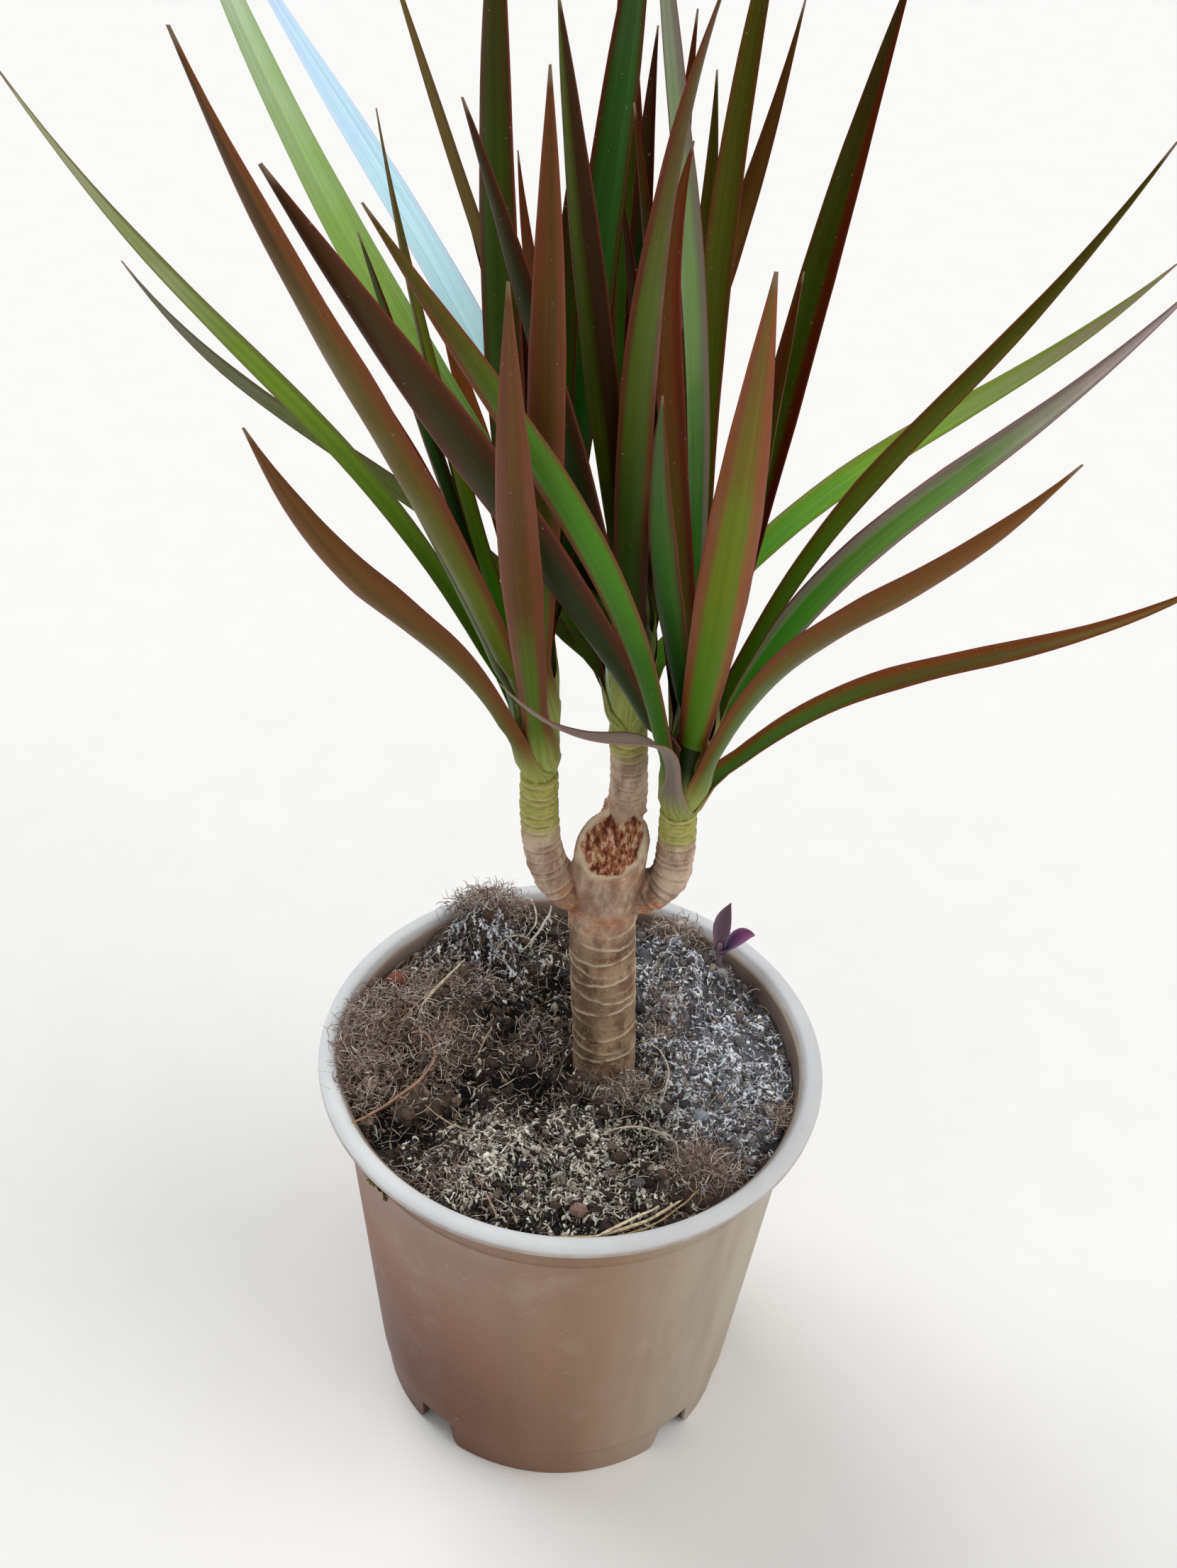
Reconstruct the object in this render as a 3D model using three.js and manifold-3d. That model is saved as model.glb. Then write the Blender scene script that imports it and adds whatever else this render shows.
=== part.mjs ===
// A potted dracaena marginata, in millimetres, +Z up.
// The origin is on the pot's axis, on the surface that the pot stands on. The front of the plant faces -Y.
// The pot, the soil, the woody trunk, the three leaf crowns and a small seedling are separate solids.
import * as THREE from 'three';
import { mergeVertices } from 'three/addons/utils/BufferGeometryUtils.js';
import Module from 'manifold-3d';

const wasm = await Module();
wasm.setup();

// ---- driving dimensions --------------------------------------------------------------------------------
const CLEARANCE = 0.3;

const POT = {
  height: 154,
  rimRadius: 85,
  rimHeight: 4.8,
  mouthRadius: 79,
  neckRadius: 78.05,
  baseRadius: 63,
  wall: 1.6,
  footRadius: 62.2,
  footHeight: 15,
  footInset: 0.7,
  footWidth: 2.6,
  floorUnderside: 8,
  floorTop: 10,
  notchAzimuths: [46, 136, 230.6, 315.5],
  notchTopWidth: 13.5,
  notchFootWidth: 16.6,
  notchHeight: 15,
  notchInnerRadius: 59,
  drainRadius: 4.5,
  drainCircleRadius: 38,
  drains: 4,
  drainSides: 12,
  segments: 48,
  // roundings: on the foot, under the rim, over its outer edge, over the lip and inside the mouth
  footEdge: 0.4,
  rimUnderRound: 1.5,
  rimOverRound: 2.4,
  rimEdge: 1.2,
  lipDrop: 0.6,
  lipFlat: 3,
  mouthRound: 1.5,
  // how far a cutter overshoots
  overshoot: 1,
};

const SOIL = {
  level: 146.5,
  edgeDrop: 2.5,
  edgeWidth: 12,
  crumb: 0.9,
  // waves per mm of the crumbly surface
  ripples: [0.41, 0.13, 0.37, 0.17],
  wallFit: 0.4,
  shoulderDepth: 8,
  segments: 36,
  rings: 10,
  // x, y, height and radius of each mound (+) and hollow (-)
  swells: [
    [-58, 6, 13, 26],
    [-34, 62, 15, 17],
    [36, 56, 7, 20],
    [46, -44, 4, 13],
    [-14, 46, -3, 12],
    [4, -22, -2, 14],
    [12, 2, 2.5, 22],
  ],
};

// The cane leans left as it rises from the soil and swells into a head that was sawn off on a slant.
const CANE = {
  x: 10.9,
  y: 3,
  bottom: 72,
  top: 266,
  holeRadius: 12,
  holeSides: 24,
  // height, x of the axis and radius there
  stations: [
    [72, 10.9, 10.3], [153, 10.9, 10.5], [205, 7.4, 10.8], [214, 6.8, 11], [228, 7.4, 11.6], [266, 9.8, 11.4],
  ],
  scarPitch: 7,
  scarRelief: 0.35,
  scarEdge: 1,
  firstScar: 140,
  scarsBelowKnot: 214,
  sides: 14,
  cutCentre: [8.6, 3, 244.4],
  cutTilt: 27,
  cutRoll: 11.3,
  sawn: [80, 80, 60],
  pithSides: 12,
  // radius and depth of the hollow, from its middle to its edge
  pith: [[1, -3.2], [6, -2.6], [8.6, 1]],
};

const CROWNS = {
  left: { seat: [-15.5, 2, 272], axis: [-0.05, 0, 1] },
  middle: { seat: [10.5, 13, 284], axis: [0, 0.05, 1] },
  right: { seat: [28, 3, 260], axis: [0.08, -0.03, 1] },
};
// Each branch leaves the cane under the cut and ends at its crown's seat. A point is x, y, z and the
// radius there.
const BRANCHES = {
  left: [
    [6, 3, 222.5, 7.6], [-3, 2.5, 225, 7.2], [-9.5, 2, 231.5, 6.5], [-13.2, 2, 242, 6], [-14.8, 2, 256, 6],
  ],
  middle: [[8.5, 9, 232, 7.6], [10.6, 15.5, 241, 7.2], [12.3, 16.4, 252, 6.1], [12, 14.8, 266, 5.8]],
  right: [[9, 3, 223, 7.6], [20, 2.5, 226, 6.8], [26.6, 2, 232.5, 6.2], [28.3, 3, 243, 6]],
};
const BRANCH = { tipRadius: 5.9, rings: 14, sides: 10, scarPitch: 3.8, scarRelief: 0.22 };

// Height above the seat and radius of the sheathed stem that carries the leaves.
const SHEATH = [[0, 5.9], [5, 6.9], [14, 7.4], [28, 7], [42, 5.6], [54, 3.2], [64, 0.8]];
const SHEATH_SIDES = 10;

const LEAF = {
  thickness: 0.8,
  rootRadius: 5.5,
  rootTaper: 0.06,
  trough: 0.16,
  claspTrough: 0.25,
  claspLength: 0.15,
  stations: [0, 0.07, 0.17, 0.29, 0.42, 0.55, 0.68, 0.8, 0.91, 1],
  // share of the length and share of the greatest width there
  outline: [
    [0, 0.6], [0.08, 0.68], [0.25, 0.88], [0.42, 1], [0.6, 0.92], [0.75, 0.7], [0.88, 0.4], [0.96, 0.17], [1, 0.06],
  ],
  tipWidth: 1.1,
};

// The leaves, as measured on the plant. Each one leaves its crown at a height above the seat and ends at a
// tip. lift carries its lower third up along the stem, arch its outer third up, and bow both sideways.
// twist is in degrees.
const LEAVES = [
  { crown: 'left', root: 14, tip: [-182, 90, 446], lift: 30, arch: -33, bow: -14, width: 9 },
  { crown: 'left', root: 6, tip: [-90, -55, 421], lift: 26, arch: -24, bow: 5, width: 14, twist: 50 },
  { crown: 'left', root: 22, tip: [-90, -110, 542], lift: 26, arch: -10, bow: -3, width: 14 },
  { crown: 'left', root: 10, tip: [-23, -118, 497], lift: 20, arch: -12, bow: -2, width: 11 },
  { crown: 'left', root: 30, tip: [-18, -75, 525], lift: 15, arch: 3, bow: 1, width: 10 },
  { crown: 'left', root: 36, tip: [-34, -12, 557], lift: -6, arch: 4, bow: -7, width: 11 },
  { crown: 'left', root: 26, tip: [-66, 25, 470], lift: 6, arch: -2, bow: 7, width: 11, twist: 30 },
  { crown: 'left', root: 36, tip: [-57, 95, 384], lift: 22, arch: -5, bow: -1, width: 7 },
  { crown: 'left', root: 40, tip: [2, 49, 541], lift: -4, arch: 10, bow: 0, width: 14 },
  { crown: 'left', root: 38, tip: [-14, 18, 475], lift: 5, arch: 3, bow: 0, width: 11 },
  { crown: 'left', root: 20, tip: [-103, -25, 496], lift: 8, arch: 0, bow: 0, width: 12 },
  { crown: 'left', root: 14, tip: [-69, 7, 444], lift: 12, arch: 0, bow: 0, width: 11 },
  { crown: 'left', root: 34, tip: [-110, 46, 443], lift: 12, arch: -4, bow: 0, width: 11 },
  { crown: 'left', root: 8, tip: [-33, 23, 457], lift: 6, arch: 3, bow: 0, width: 11 },
  { crown: 'middle', root: 8, tip: [-155, 105, 381], lift: 38, arch: -14, bow: 9, width: 8 },
  { crown: 'middle', root: 28, tip: [-38, -52, 507], lift: 6, arch: 8, bow: -1, width: 10 },
  { crown: 'middle', root: 22, tip: [-137, 107, 520], lift: -4, arch: -18, bow: 14, width: 16 },
  { crown: 'middle', root: 16, tip: [-121, 118, 486], lift: 30, arch: -1, bow: -5, width: 13 },
  { crown: 'middle', root: 34, tip: [-69, 59, 505], lift: -2, arch: 0, bow: 5, width: 7 },
  { crown: 'middle', root: 30, tip: [-34, 115, 421], lift: 5, arch: -9, bow: 7, width: 7 },
  { crown: 'middle', root: 34, tip: [-43, 80, 377], lift: 8, arch: -4, bow: 4, width: 7 },
  { crown: 'middle', root: 38, tip: [-18, -45, 529], lift: 2, arch: 7, bow: -2, width: 10 },
  { crown: 'middle', root: 44, tip: [5, 60, 483], lift: 15, arch: 5, bow: 4, width: 7 },
  { crown: 'middle', root: 18, tip: [18, -63, 543], lift: 32, arch: 24, bow: -10, width: 13, twist: 60 },
  { crown: 'middle', root: 40, tip: [15, 55, 490], lift: 16, arch: -2, bow: 1, width: 7 },
  { crown: 'middle', root: 26, tip: [45, 83, 485], lift: 54, arch: -35, bow: 5, width: 9 },
  { crown: 'middle', root: 12, tip: [168, 107, 402], lift: 29, arch: -21, bow: 13, width: 12 },
  { crown: 'middle', root: 36, tip: [15, 75, 425], lift: 0, arch: -14, bow: -10, width: 7 },
  { crown: 'middle', root: 42, tip: [22, 70, 468], lift: 13, arch: -4, bow: -6, width: 7 },
  { crown: 'middle', root: 5, tip: [27, 100, 414], lift: 16, arch: -8, bow: 0, width: 11 },
  { crown: 'middle', root: 14, tip: [-8, 100, 437], lift: 14, arch: -4, bow: 0, width: 12 },
  { crown: 'middle', root: 28, tip: [-6, 89, 503], lift: 8, arch: 0, bow: 0, width: 12 },
  { crown: 'middle', root: 8, tip: [-44, 49, 432], lift: 10, arch: -4, bow: 0, width: 11 },
  { crown: 'middle', root: 5, tip: [-91, 93, 406], lift: 14, arch: -8, bow: 0, width: 11 },
  { crown: 'right', root: 36, tip: [-1, 24, 552], lift: 38, arch: -14, bow: -8, width: 13 },
  { crown: 'right', root: 38, tip: [37, 61, 538], lift: 12, arch: 0, bow: 12, width: 9 },
  { crown: 'right', root: 30, tip: [68, 41, 509], lift: 14, arch: 10, bow: 2, width: 11 },
  { crown: 'right', root: 20, tip: [31, -110, 499], lift: 12, arch: -7, bow: 1, width: 14 },
  { crown: 'right', root: 26, tip: [144, 44, 467], lift: 28, arch: -36, bow: 18, width: 9 },
  { crown: 'right', root: 16, tip: [163, 64, 415], lift: 23, arch: -34, bow: 24, width: 14 },
  { crown: 'right', root: 10, tip: [113, -60, 429], lift: 52, arch: -7, bow: -24, width: 12, twist: -50 },
  { crown: 'right', root: 4, tip: [183, 37, 334], lift: 19, arch: -32, bow: 24, width: 11 },
  { crown: 'right', root: 5, tip: [-24, -80, 367], lift: 42, arch: -14, bow: 15, width: 8 },
  { crown: 'right', root: 18, tip: [-78, -84, 503], lift: 12, arch: -1, bow: 3, width: 15, twist: 55 },
  { crown: 'right', root: 8, tip: [-58, -72, 490], lift: 35, arch: 8, bow: 20, width: 11, twist: 55 },
  { crown: 'right', root: 32, tip: [11, -70, 446], lift: 11, arch: -3, bow: -6, width: 9 },
  { crown: 'right', root: 42, tip: [16, 20, 469], lift: 50, arch: 24, bow: 22, width: 11 },
  { crown: 'right', root: 6, tip: [18, 96, 388], lift: 16, arch: -8, bow: 0, width: 11 },
  { crown: 'right', root: 40, tip: [0, 18, 479], lift: 6, arch: 3, bow: 0, width: 11 },
  { crown: 'right', root: 34, tip: [46, -1, 445], lift: 6, arch: 3, bow: 0, width: 10 },
  { crown: 'right', root: 12, tip: [34, -39, 424], lift: 10, arch: 0, bow: 0, width: 11 },
  { crown: 'right', root: 24, tip: [-2, 34, 448], lift: 6, arch: 3, bow: 0, width: 10 },
];

const SEEDLING = {
  x: 50,
  y: 50,
  stemRadius: 1.1,
  holeRadius: 1.6,
  stemBottom: 138,
  stemTop: 160,
  sides: 8,
  leaves: [
    { tip: [52, 53, 177], lift: 2, arch: 0, bow: 1, width: 7 },
    { tip: [61, 46, 169], lift: 1, arch: 4, bow: 0, width: 7.5, twist: 30 },
  ],
  leafRootHeight: 157,
};

const COLOURS = {
  pot: [0x9a8378, 0.45],
  soil: [0x3a332e, 1],
  trunk: [0x8a6d4c, 0.85],
  crown: [0x5d6b2f, 0.5],
  seedling: [0x8a4f86, 0.5],
};

// ---- solids --------------------------------------------------------------------------------------------
const UP = new THREE.Vector3(0, 0, 1);
const vector = (values) => new THREE.Vector3(...values);
const radians = THREE.MathUtils.degToRad;

// A closed solid through a list of rings with equal counts, capped at both ends by a fan.
function ringSolid(rings) {
  const count = rings[0].length;
  const positions = rings.flat().flatMap((point) => point.toArray());
  const index = [];
  for (let ring = 0; ring + 1 < rings.length; ring++) {
    for (let side = 0; side < count; side++) {
      const a = ring * count + side;
      const b = ring * count + (side + 1) % count;
      index.push(a, b, b + count, a, b + count, a + count);
    }
  }
  [rings[0], rings.at(-1)].forEach((ring, end) => {
    const centre = new THREE.Vector3();
    ring.forEach((point) => centre.addScaledVector(point, 1 / count));
    const hub = positions.length / 3;
    positions.push(...centre.toArray());
    const start = end ? (rings.length - 1) * count : 0;
    for (let side = 0; side < count; side++) {
      const a = start + side;
      const b = start + (side + 1) % count;
      index.push(hub, ...(end ? [a, b] : [b, a]));
    }
  });
  const geometry = new THREE.BufferGeometry();
  geometry.setAttribute('position', new THREE.Float32BufferAttribute(positions, 3));
  geometry.setIndex(index);
  return geometry;
}

function circle(centre, across, along, radius, sides) {
  return Array.from({ length: sides }, (_, side) => {
    const angle = (side / sides) * 2 * Math.PI;
    return centre.clone()
      .addScaledVector(across, radius * Math.cos(angle))
      .addScaledVector(along, radius * Math.sin(angle));
  });
}

// A solid of revolution about Z through x, y, from [radius, height] pairs.
function turned(profile, sides, x = 0, y = 0) {
  const across = new THREE.Vector3(1, 0, 0);
  const along = new THREE.Vector3(0, 1, 0);
  return ringSolid(profile.map(([radius, height]) => {
    const centre = new THREE.Vector3(x, y, height);
    return circle(centre, across, along, radius, sides);
  }));
}

function toSolid(geometry) {
  const bare = geometry.clone();
  bare.deleteAttribute('normal');
  bare.deleteAttribute('uv');
  const merged = mergeVertices(bare, 1e-4);
  return new wasm.Manifold(new wasm.Mesh({
    numProp: 3,
    vertProperties: new Float32Array(merged.attributes.position.array),
    triVerts: new Uint32Array(merged.index.array),
  }));
}

function toGeometry(solid) {
  const mesh = solid.getMesh();
  const positions = [];
  for (let vertex = 0; vertex < mesh.vertProperties.length / mesh.numProp; vertex++) {
    positions.push(...mesh.vertProperties.slice(vertex * mesh.numProp, vertex * mesh.numProp + 3));
  }
  const geometry = new THREE.BufferGeometry();
  geometry.setAttribute('position', new THREE.Float32BufferAttribute(positions, 3));
  geometry.setIndex(Array.from(mesh.triVerts));
  return geometry;
}

// Joins solids, and keeps the one connected body: loose scraps and sealed hollows go.
function joined(geometries) {
  const whole = geometries.map(toSolid).reduce((sum, next) => sum.add(next));
  return whole.decompose().reduce((best, next) => (next.volume() > best.volume() ? next : best));
}

function interpolate(table, at) {
  const next = table.findIndex(([key]) => key >= at);
  if (next <= 0) return table[next === 0 ? 0 : table.length - 1][1];
  const [fromKey, from] = table[next - 1];
  const [toKey, to] = table[next];
  return from + ((to - from) * (at - fromKey)) / (toKey - fromKey);
}

// ---- pot -----------------------------------------------------------------------------------------------
const neckHeight = POT.height - POT.rimHeight;
const outerRadiusAt = (z) => POT.baseRadius + ((POT.neckRadius - POT.baseRadius) * z) / neckHeight;
const innerRadiusAt = (z) => outerRadiusAt(z) - POT.wall;

function potGeometry() {
  const footInner = POT.footRadius - POT.footWidth;
  const profile = [
    [footInner, POT.floorUnderside],
    [footInner, 0],
    [POT.footRadius, 0],
    [outerRadiusAt(POT.footHeight) - POT.footInset, POT.footHeight - POT.footEdge],
    [outerRadiusAt(POT.footHeight), POT.footHeight],
    [POT.neckRadius, neckHeight],
    [POT.rimRadius - POT.rimEdge, neckHeight],
    [POT.rimRadius, neckHeight + POT.rimUnderRound],
    [POT.rimRadius, POT.height - POT.rimOverRound],
    [POT.rimRadius - POT.rimEdge, POT.height - POT.lipDrop],
    [POT.rimRadius - POT.lipFlat, POT.height],
    [POT.mouthRadius + POT.rimEdge, POT.height - POT.lipDrop / 2],
    [POT.mouthRadius, POT.height - POT.mouthRound],
    [innerRadiusAt(neckHeight) + POT.lipDrop, neckHeight + POT.rimUnderRound],
    [innerRadiusAt(POT.floorTop), POT.floorTop],
  ];
  let pot = toSolid(turned(profile, POT.segments));
  for (const azimuth of POT.notchAzimuths) {
    const reach = POT.rimRadius - POT.notchInnerRadius;
    const notch = new THREE.BoxGeometry(reach, POT.notchTopWidth, POT.notchHeight + POT.overshoot);
    notch.translate(POT.notchInnerRadius + reach / 2, 0, (POT.notchHeight - POT.overshoot) / 2);
    const corners = notch.getAttribute('position');
    for (let corner = 0; corner < corners.count; corner++) {
      if (corners.getZ(corner) < 0) {
        corners.setY(corner, Math.sign(corners.getY(corner)) * (POT.notchFootWidth / 2));
      }
    }
    notch.rotateZ(radians(azimuth));
    pot = pot.subtract(toSolid(notch));
  }
  for (let drain = 0; drain < POT.drains; drain++) {
    const angle = (drain / POT.drains) * 2 * Math.PI;
    const x = POT.drainCircleRadius * Math.cos(angle);
    const y = POT.drainCircleRadius * Math.sin(angle);
    const hole = [
      [POT.drainRadius, POT.floorUnderside - POT.overshoot],
      [POT.drainRadius, POT.floorTop + POT.overshoot],
    ];
    pot = pot.subtract(toSolid(turned(hole, POT.drainSides, x, y)));
  }
  return toGeometry(pot);
}

// ---- soil ----------------------------------------------------------------------------------------------
function soilHeight(x, y) {
  const edge = innerRadiusAt(SOIL.level) - Math.hypot(x, y);
  let height = SOIL.level - SOIL.edgeDrop * Math.max(0, 1 - edge / SOIL.edgeWidth);
  for (const [centreX, centreY, rise, radius] of SOIL.swells) {
    height += rise * Math.exp(-(((x - centreX) ** 2 + (y - centreY) ** 2) / radius ** 2));
  }
  const [a, b, c, d] = SOIL.ripples;
  return height + SOIL.crumb * Math.sin(x * a + y * b) * Math.sin(y * c - x * d);
}

function soilGeometry() {
  const bottom = POT.floorTop + CLEARANCE;
  const shoulder = SOIL.level - SOIL.shoulderDepth;
  const ringAt = (radius, height) => Array.from({ length: SOIL.segments }, (_, side) => {
    const angle = (side / SOIL.segments) * 2 * Math.PI;
    const x = radius * Math.cos(angle);
    const y = radius * Math.sin(angle);
    return new THREE.Vector3(x, y, height ?? soilHeight(x, y));
  });
  const rimRadius = innerRadiusAt(shoulder) - SOIL.wallFit;
  const rings = [
    ringAt(innerRadiusAt(bottom) - SOIL.wallFit, bottom),
    ringAt(rimRadius, shoulder),
  ];
  for (let ring = SOIL.rings; ring >= 1; ring--) {
    rings.push(ringAt((rimRadius * ring) / SOIL.rings));
  }
  const caneHole = [[CANE.holeRadius, CANE.bottom - CLEARANCE], [CANE.holeRadius, CANE.top]];
  const stemHole = [
    [SEEDLING.holeRadius, SEEDLING.stemBottom - CLEARANCE],
    [SEEDLING.holeRadius, SEEDLING.leafRootHeight],
  ];
  const soil = toSolid(ringSolid(rings))
    .subtract(toSolid(turned(caneHole, CANE.holeSides, CANE.x, CANE.y)))
    .subtract(toSolid(turned(stemHole, SEEDLING.sides, SEEDLING.x, SEEDLING.y)));
  return toGeometry(soil);
}

// ---- trunk ---------------------------------------------------------------------------------------------
// Leaf scars ring the wood: the radius grows slowly upwards and steps back at each scar.
const scar = (distance, pitch, relief) => relief * ((distance / pitch) % 1);

function caneGeometry() {
  const axisX = CANE.stations.map(([height, x]) => [height, x]);
  const radii = CANE.stations.map(([height, , radius]) => [height, radius]);
  const heights = [[CANE.bottom, 0]];
  for (let z = CANE.firstScar; z < CANE.scarsBelowKnot; z += CANE.scarPitch) {
    heights.push([z, 0], [z + CANE.scarPitch - CANE.scarEdge, CANE.scarRelief]);
  }
  for (const [height] of CANE.stations.filter((station) => station[0] > CANE.scarsBelowKnot)) {
    heights.push([height, 0]);
  }
  const across = new THREE.Vector3(1, 0, 0);
  const along = new THREE.Vector3(0, 1, 0);
  return ringSolid(heights.map(([z, relief]) => {
    const centre = new THREE.Vector3(interpolate(axisX, z), CANE.y, z);
    return circle(centre, across, along, interpolate(radii, z) + relief, CANE.sides);
  }));
}

function branchGeometry(name) {
  const points = [...BRANCHES[name], [...CROWNS[name].seat, BRANCH.tipRadius]];
  const path = new THREE.CatmullRomCurve3(points.map(([x, y, z]) => new THREE.Vector3(x, y, z)));
  const radii = points.map((point, number) => [number / (points.length - 1), point[3]]);
  const length = path.getLength();
  const rings = [];
  for (let ring = 0; ring <= BRANCH.rings; ring++) {
    const share = ring / BRANCH.rings;
    const atSeat = ring === BRANCH.rings;
    const tangent = atSeat ? vector(CROWNS[name].axis).normalize() : path.getTangent(share);
    const across = new THREE.Vector3(0, 1, 0).addScaledVector(tangent, -tangent.y).normalize();
    const along = new THREE.Vector3().crossVectors(tangent, across);
    const relief = atSeat ? 0 : scar(share * length, BRANCH.scarPitch, BRANCH.scarRelief);
    rings.push(circle(path.getPoint(share), across, along, interpolate(radii, share) + relief, BRANCH.sides));
  }
  return ringSolid(rings);
}

// The saw cut falls towards the front and the left, with a shallow hollow where the pith has dried out.
function cutGeometries() {
  const sawn = new THREE.BoxGeometry(...CANE.sawn);
  sawn.translate(0, 0, CANE.sawn[2] / 2);
  const pith = turned(CANE.pith, CANE.pithSides);
  return [sawn, pith].map((shape) => {
    shape.rotateX(radians(CANE.cutTilt));
    shape.rotateY(-radians(CANE.cutRoll));
    shape.translate(...CANE.cutCentre);
    return shape;
  });
}

function trunkGeometry() {
  let cane = toSolid(caneGeometry());
  for (const cut of cutGeometries()) {
    cane = cane.subtract(toSolid(cut));
  }
  const branches = Object.keys(BRANCHES).map((name) => toSolid(branchGeometry(name)));
  return toGeometry(branches.reduce((sum, next) => sum.add(next), cane));
}

// ---- leaves and crowns ---------------------------------------------------------------------------------
// A leaf is a gutter-shaped blade along a curved midrib, with 3 points below and 3 above in each ring.
function leafGeometry({ tip, lift, arch, bow, width, twist = 0 }, root, axis, rootRadius) {
  const end = vector(tip);
  const outward = end.clone().sub(root);
  outward.addScaledVector(axis, -outward.dot(axis)).setZ(0).normalize();
  const start = root.clone().addScaledVector(outward, rootRadius);
  const chord = end.clone().sub(start);
  const side = new THREE.Vector3().crossVectors(UP, outward);
  const handle = (share, direction, rise) => start.clone()
    .addScaledVector(chord, share)
    .addScaledVector(direction, rise)
    .addScaledVector(side, bow);
  const lower = handle(1 / 3, axis, lift);
  const upper = handle(2 / 3, UP, arch);
  const midrib = new THREE.CubicBezierCurve3(start, lower, upper, end);
  const rings = LEAF.stations.map((share) => {
    const centre = midrib.getPoint(share);
    const tangent = midrib.getTangent(share);
    const across = side.clone().addScaledVector(tangent, -side.dot(tangent)).normalize();
    across.applyAxisAngle(tangent, radians(twist) * share * (2 - share));
    const face = new THREE.Vector3().crossVectors(tangent, across);
    const bladeWidth = Math.max(LEAF.tipWidth, width * interpolate(LEAF.outline, share));
    const clasp = LEAF.claspTrough * Math.max(0, 1 - share / LEAF.claspLength);
    const depth = (LEAF.trough + clasp) * bladeWidth;
    const point = (place, below) => centre.clone()
      .addScaledVector(across, (place * bladeWidth) / 2)
      .addScaledVector(face, depth * (place * place - 0.5) - below);
    return [
      ...[-1, 0, 1].map((place) => point(place, LEAF.thickness)),
      ...[1, 0, -1].map((place) => point(place, 0)),
    ];
  });
  return ringSolid(rings);
}

function sheathGeometry(seat, axis) {
  const across = new THREE.Vector3().crossVectors(new THREE.Vector3(0, 1, 0), axis).normalize();
  const along = new THREE.Vector3().crossVectors(axis, across);
  return ringSolid(SHEATH.map(([height, radius]) => {
    const centre = seat.clone().addScaledVector(axis, height + CLEARANCE);
    return circle(centre, across, along, radius, SHEATH_SIDES);
  }));
}

function crownGeometry(name) {
  const seat = vector(CROWNS[name].seat);
  const axis = vector(CROWNS[name].axis).normalize();
  const leaves = LEAVES.filter((leaf) => leaf.crown === name).map((leaf) => {
    const root = seat.clone().addScaledVector(axis, leaf.root);
    return leafGeometry(leaf, root, axis, LEAF.rootRadius - LEAF.rootTaper * leaf.root);
  });
  return toGeometry(joined([sheathGeometry(seat, axis), ...leaves]));
}

function seedlingGeometry() {
  const stem = turned(
    [[SEEDLING.stemRadius, SEEDLING.stemBottom], [SEEDLING.stemRadius, SEEDLING.stemTop]],
    SEEDLING.sides, SEEDLING.x, SEEDLING.y,
  );
  const root = new THREE.Vector3(SEEDLING.x, SEEDLING.y, SEEDLING.leafRootHeight);
  const leaves = SEEDLING.leaves.map((leaf) => leafGeometry(leaf, root, UP, 0));
  return toGeometry(joined([stem, ...leaves]));
}

// ---- the plant -----------------------------------------------------------------------------------------
function part(name, geometry, [colour, roughness]) {
  const flat = geometry.toNonIndexed();
  flat.computeVertexNormals();
  const finish = new THREE.MeshStandardMaterial({ color: colour, roughness, metalness: 0 });
  const mesh = new THREE.Mesh(flat, finish);
  mesh.name = name;
  return mesh;
}

const plant = new THREE.Group();
plant.add(part('pot', potGeometry(), COLOURS.pot));
plant.add(part('soil', soilGeometry(), COLOURS.soil));
plant.add(part('trunk', trunkGeometry(), COLOURS.trunk));
for (const name of Object.keys(CROWNS)) {
  plant.add(part(`crown_${name}`, crownGeometry(name), COLOURS.crown));
}
plant.add(part('seedling', seedlingGeometry(), COLOURS.seedling));

export default plant;
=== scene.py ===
"""A potted dracaena marginata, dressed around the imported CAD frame.

Blender is in metres with +Z up; the tables are in millimetres and degrees. The front of the plant faces -Y.
"""

import math

import bpy
import numpy as np
from mathutils import Matrix, Vector


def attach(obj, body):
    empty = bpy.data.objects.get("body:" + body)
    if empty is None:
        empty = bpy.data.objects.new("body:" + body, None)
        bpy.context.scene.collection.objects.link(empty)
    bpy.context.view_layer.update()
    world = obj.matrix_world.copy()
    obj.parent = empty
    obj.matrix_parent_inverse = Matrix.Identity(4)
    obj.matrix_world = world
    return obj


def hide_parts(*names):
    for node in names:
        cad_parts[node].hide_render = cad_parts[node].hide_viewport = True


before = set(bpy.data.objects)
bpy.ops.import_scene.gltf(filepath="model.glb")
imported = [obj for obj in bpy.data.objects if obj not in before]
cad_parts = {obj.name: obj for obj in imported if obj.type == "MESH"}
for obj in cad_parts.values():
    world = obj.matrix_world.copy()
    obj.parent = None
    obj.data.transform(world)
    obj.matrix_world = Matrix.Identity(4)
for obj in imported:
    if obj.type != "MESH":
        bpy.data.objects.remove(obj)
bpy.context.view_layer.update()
MM = 0.001
RIGHT, UP = np.eye(3)[0], np.eye(3)[2]

# The camera of the photograph: it looks along +Y, tilted down, and turned about its own axis.
CAMERA = {"place": (-0.267, -533.304, 710.033), "tilt": 39.5, "roll": 3.75, "lens": 52.08}

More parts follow.
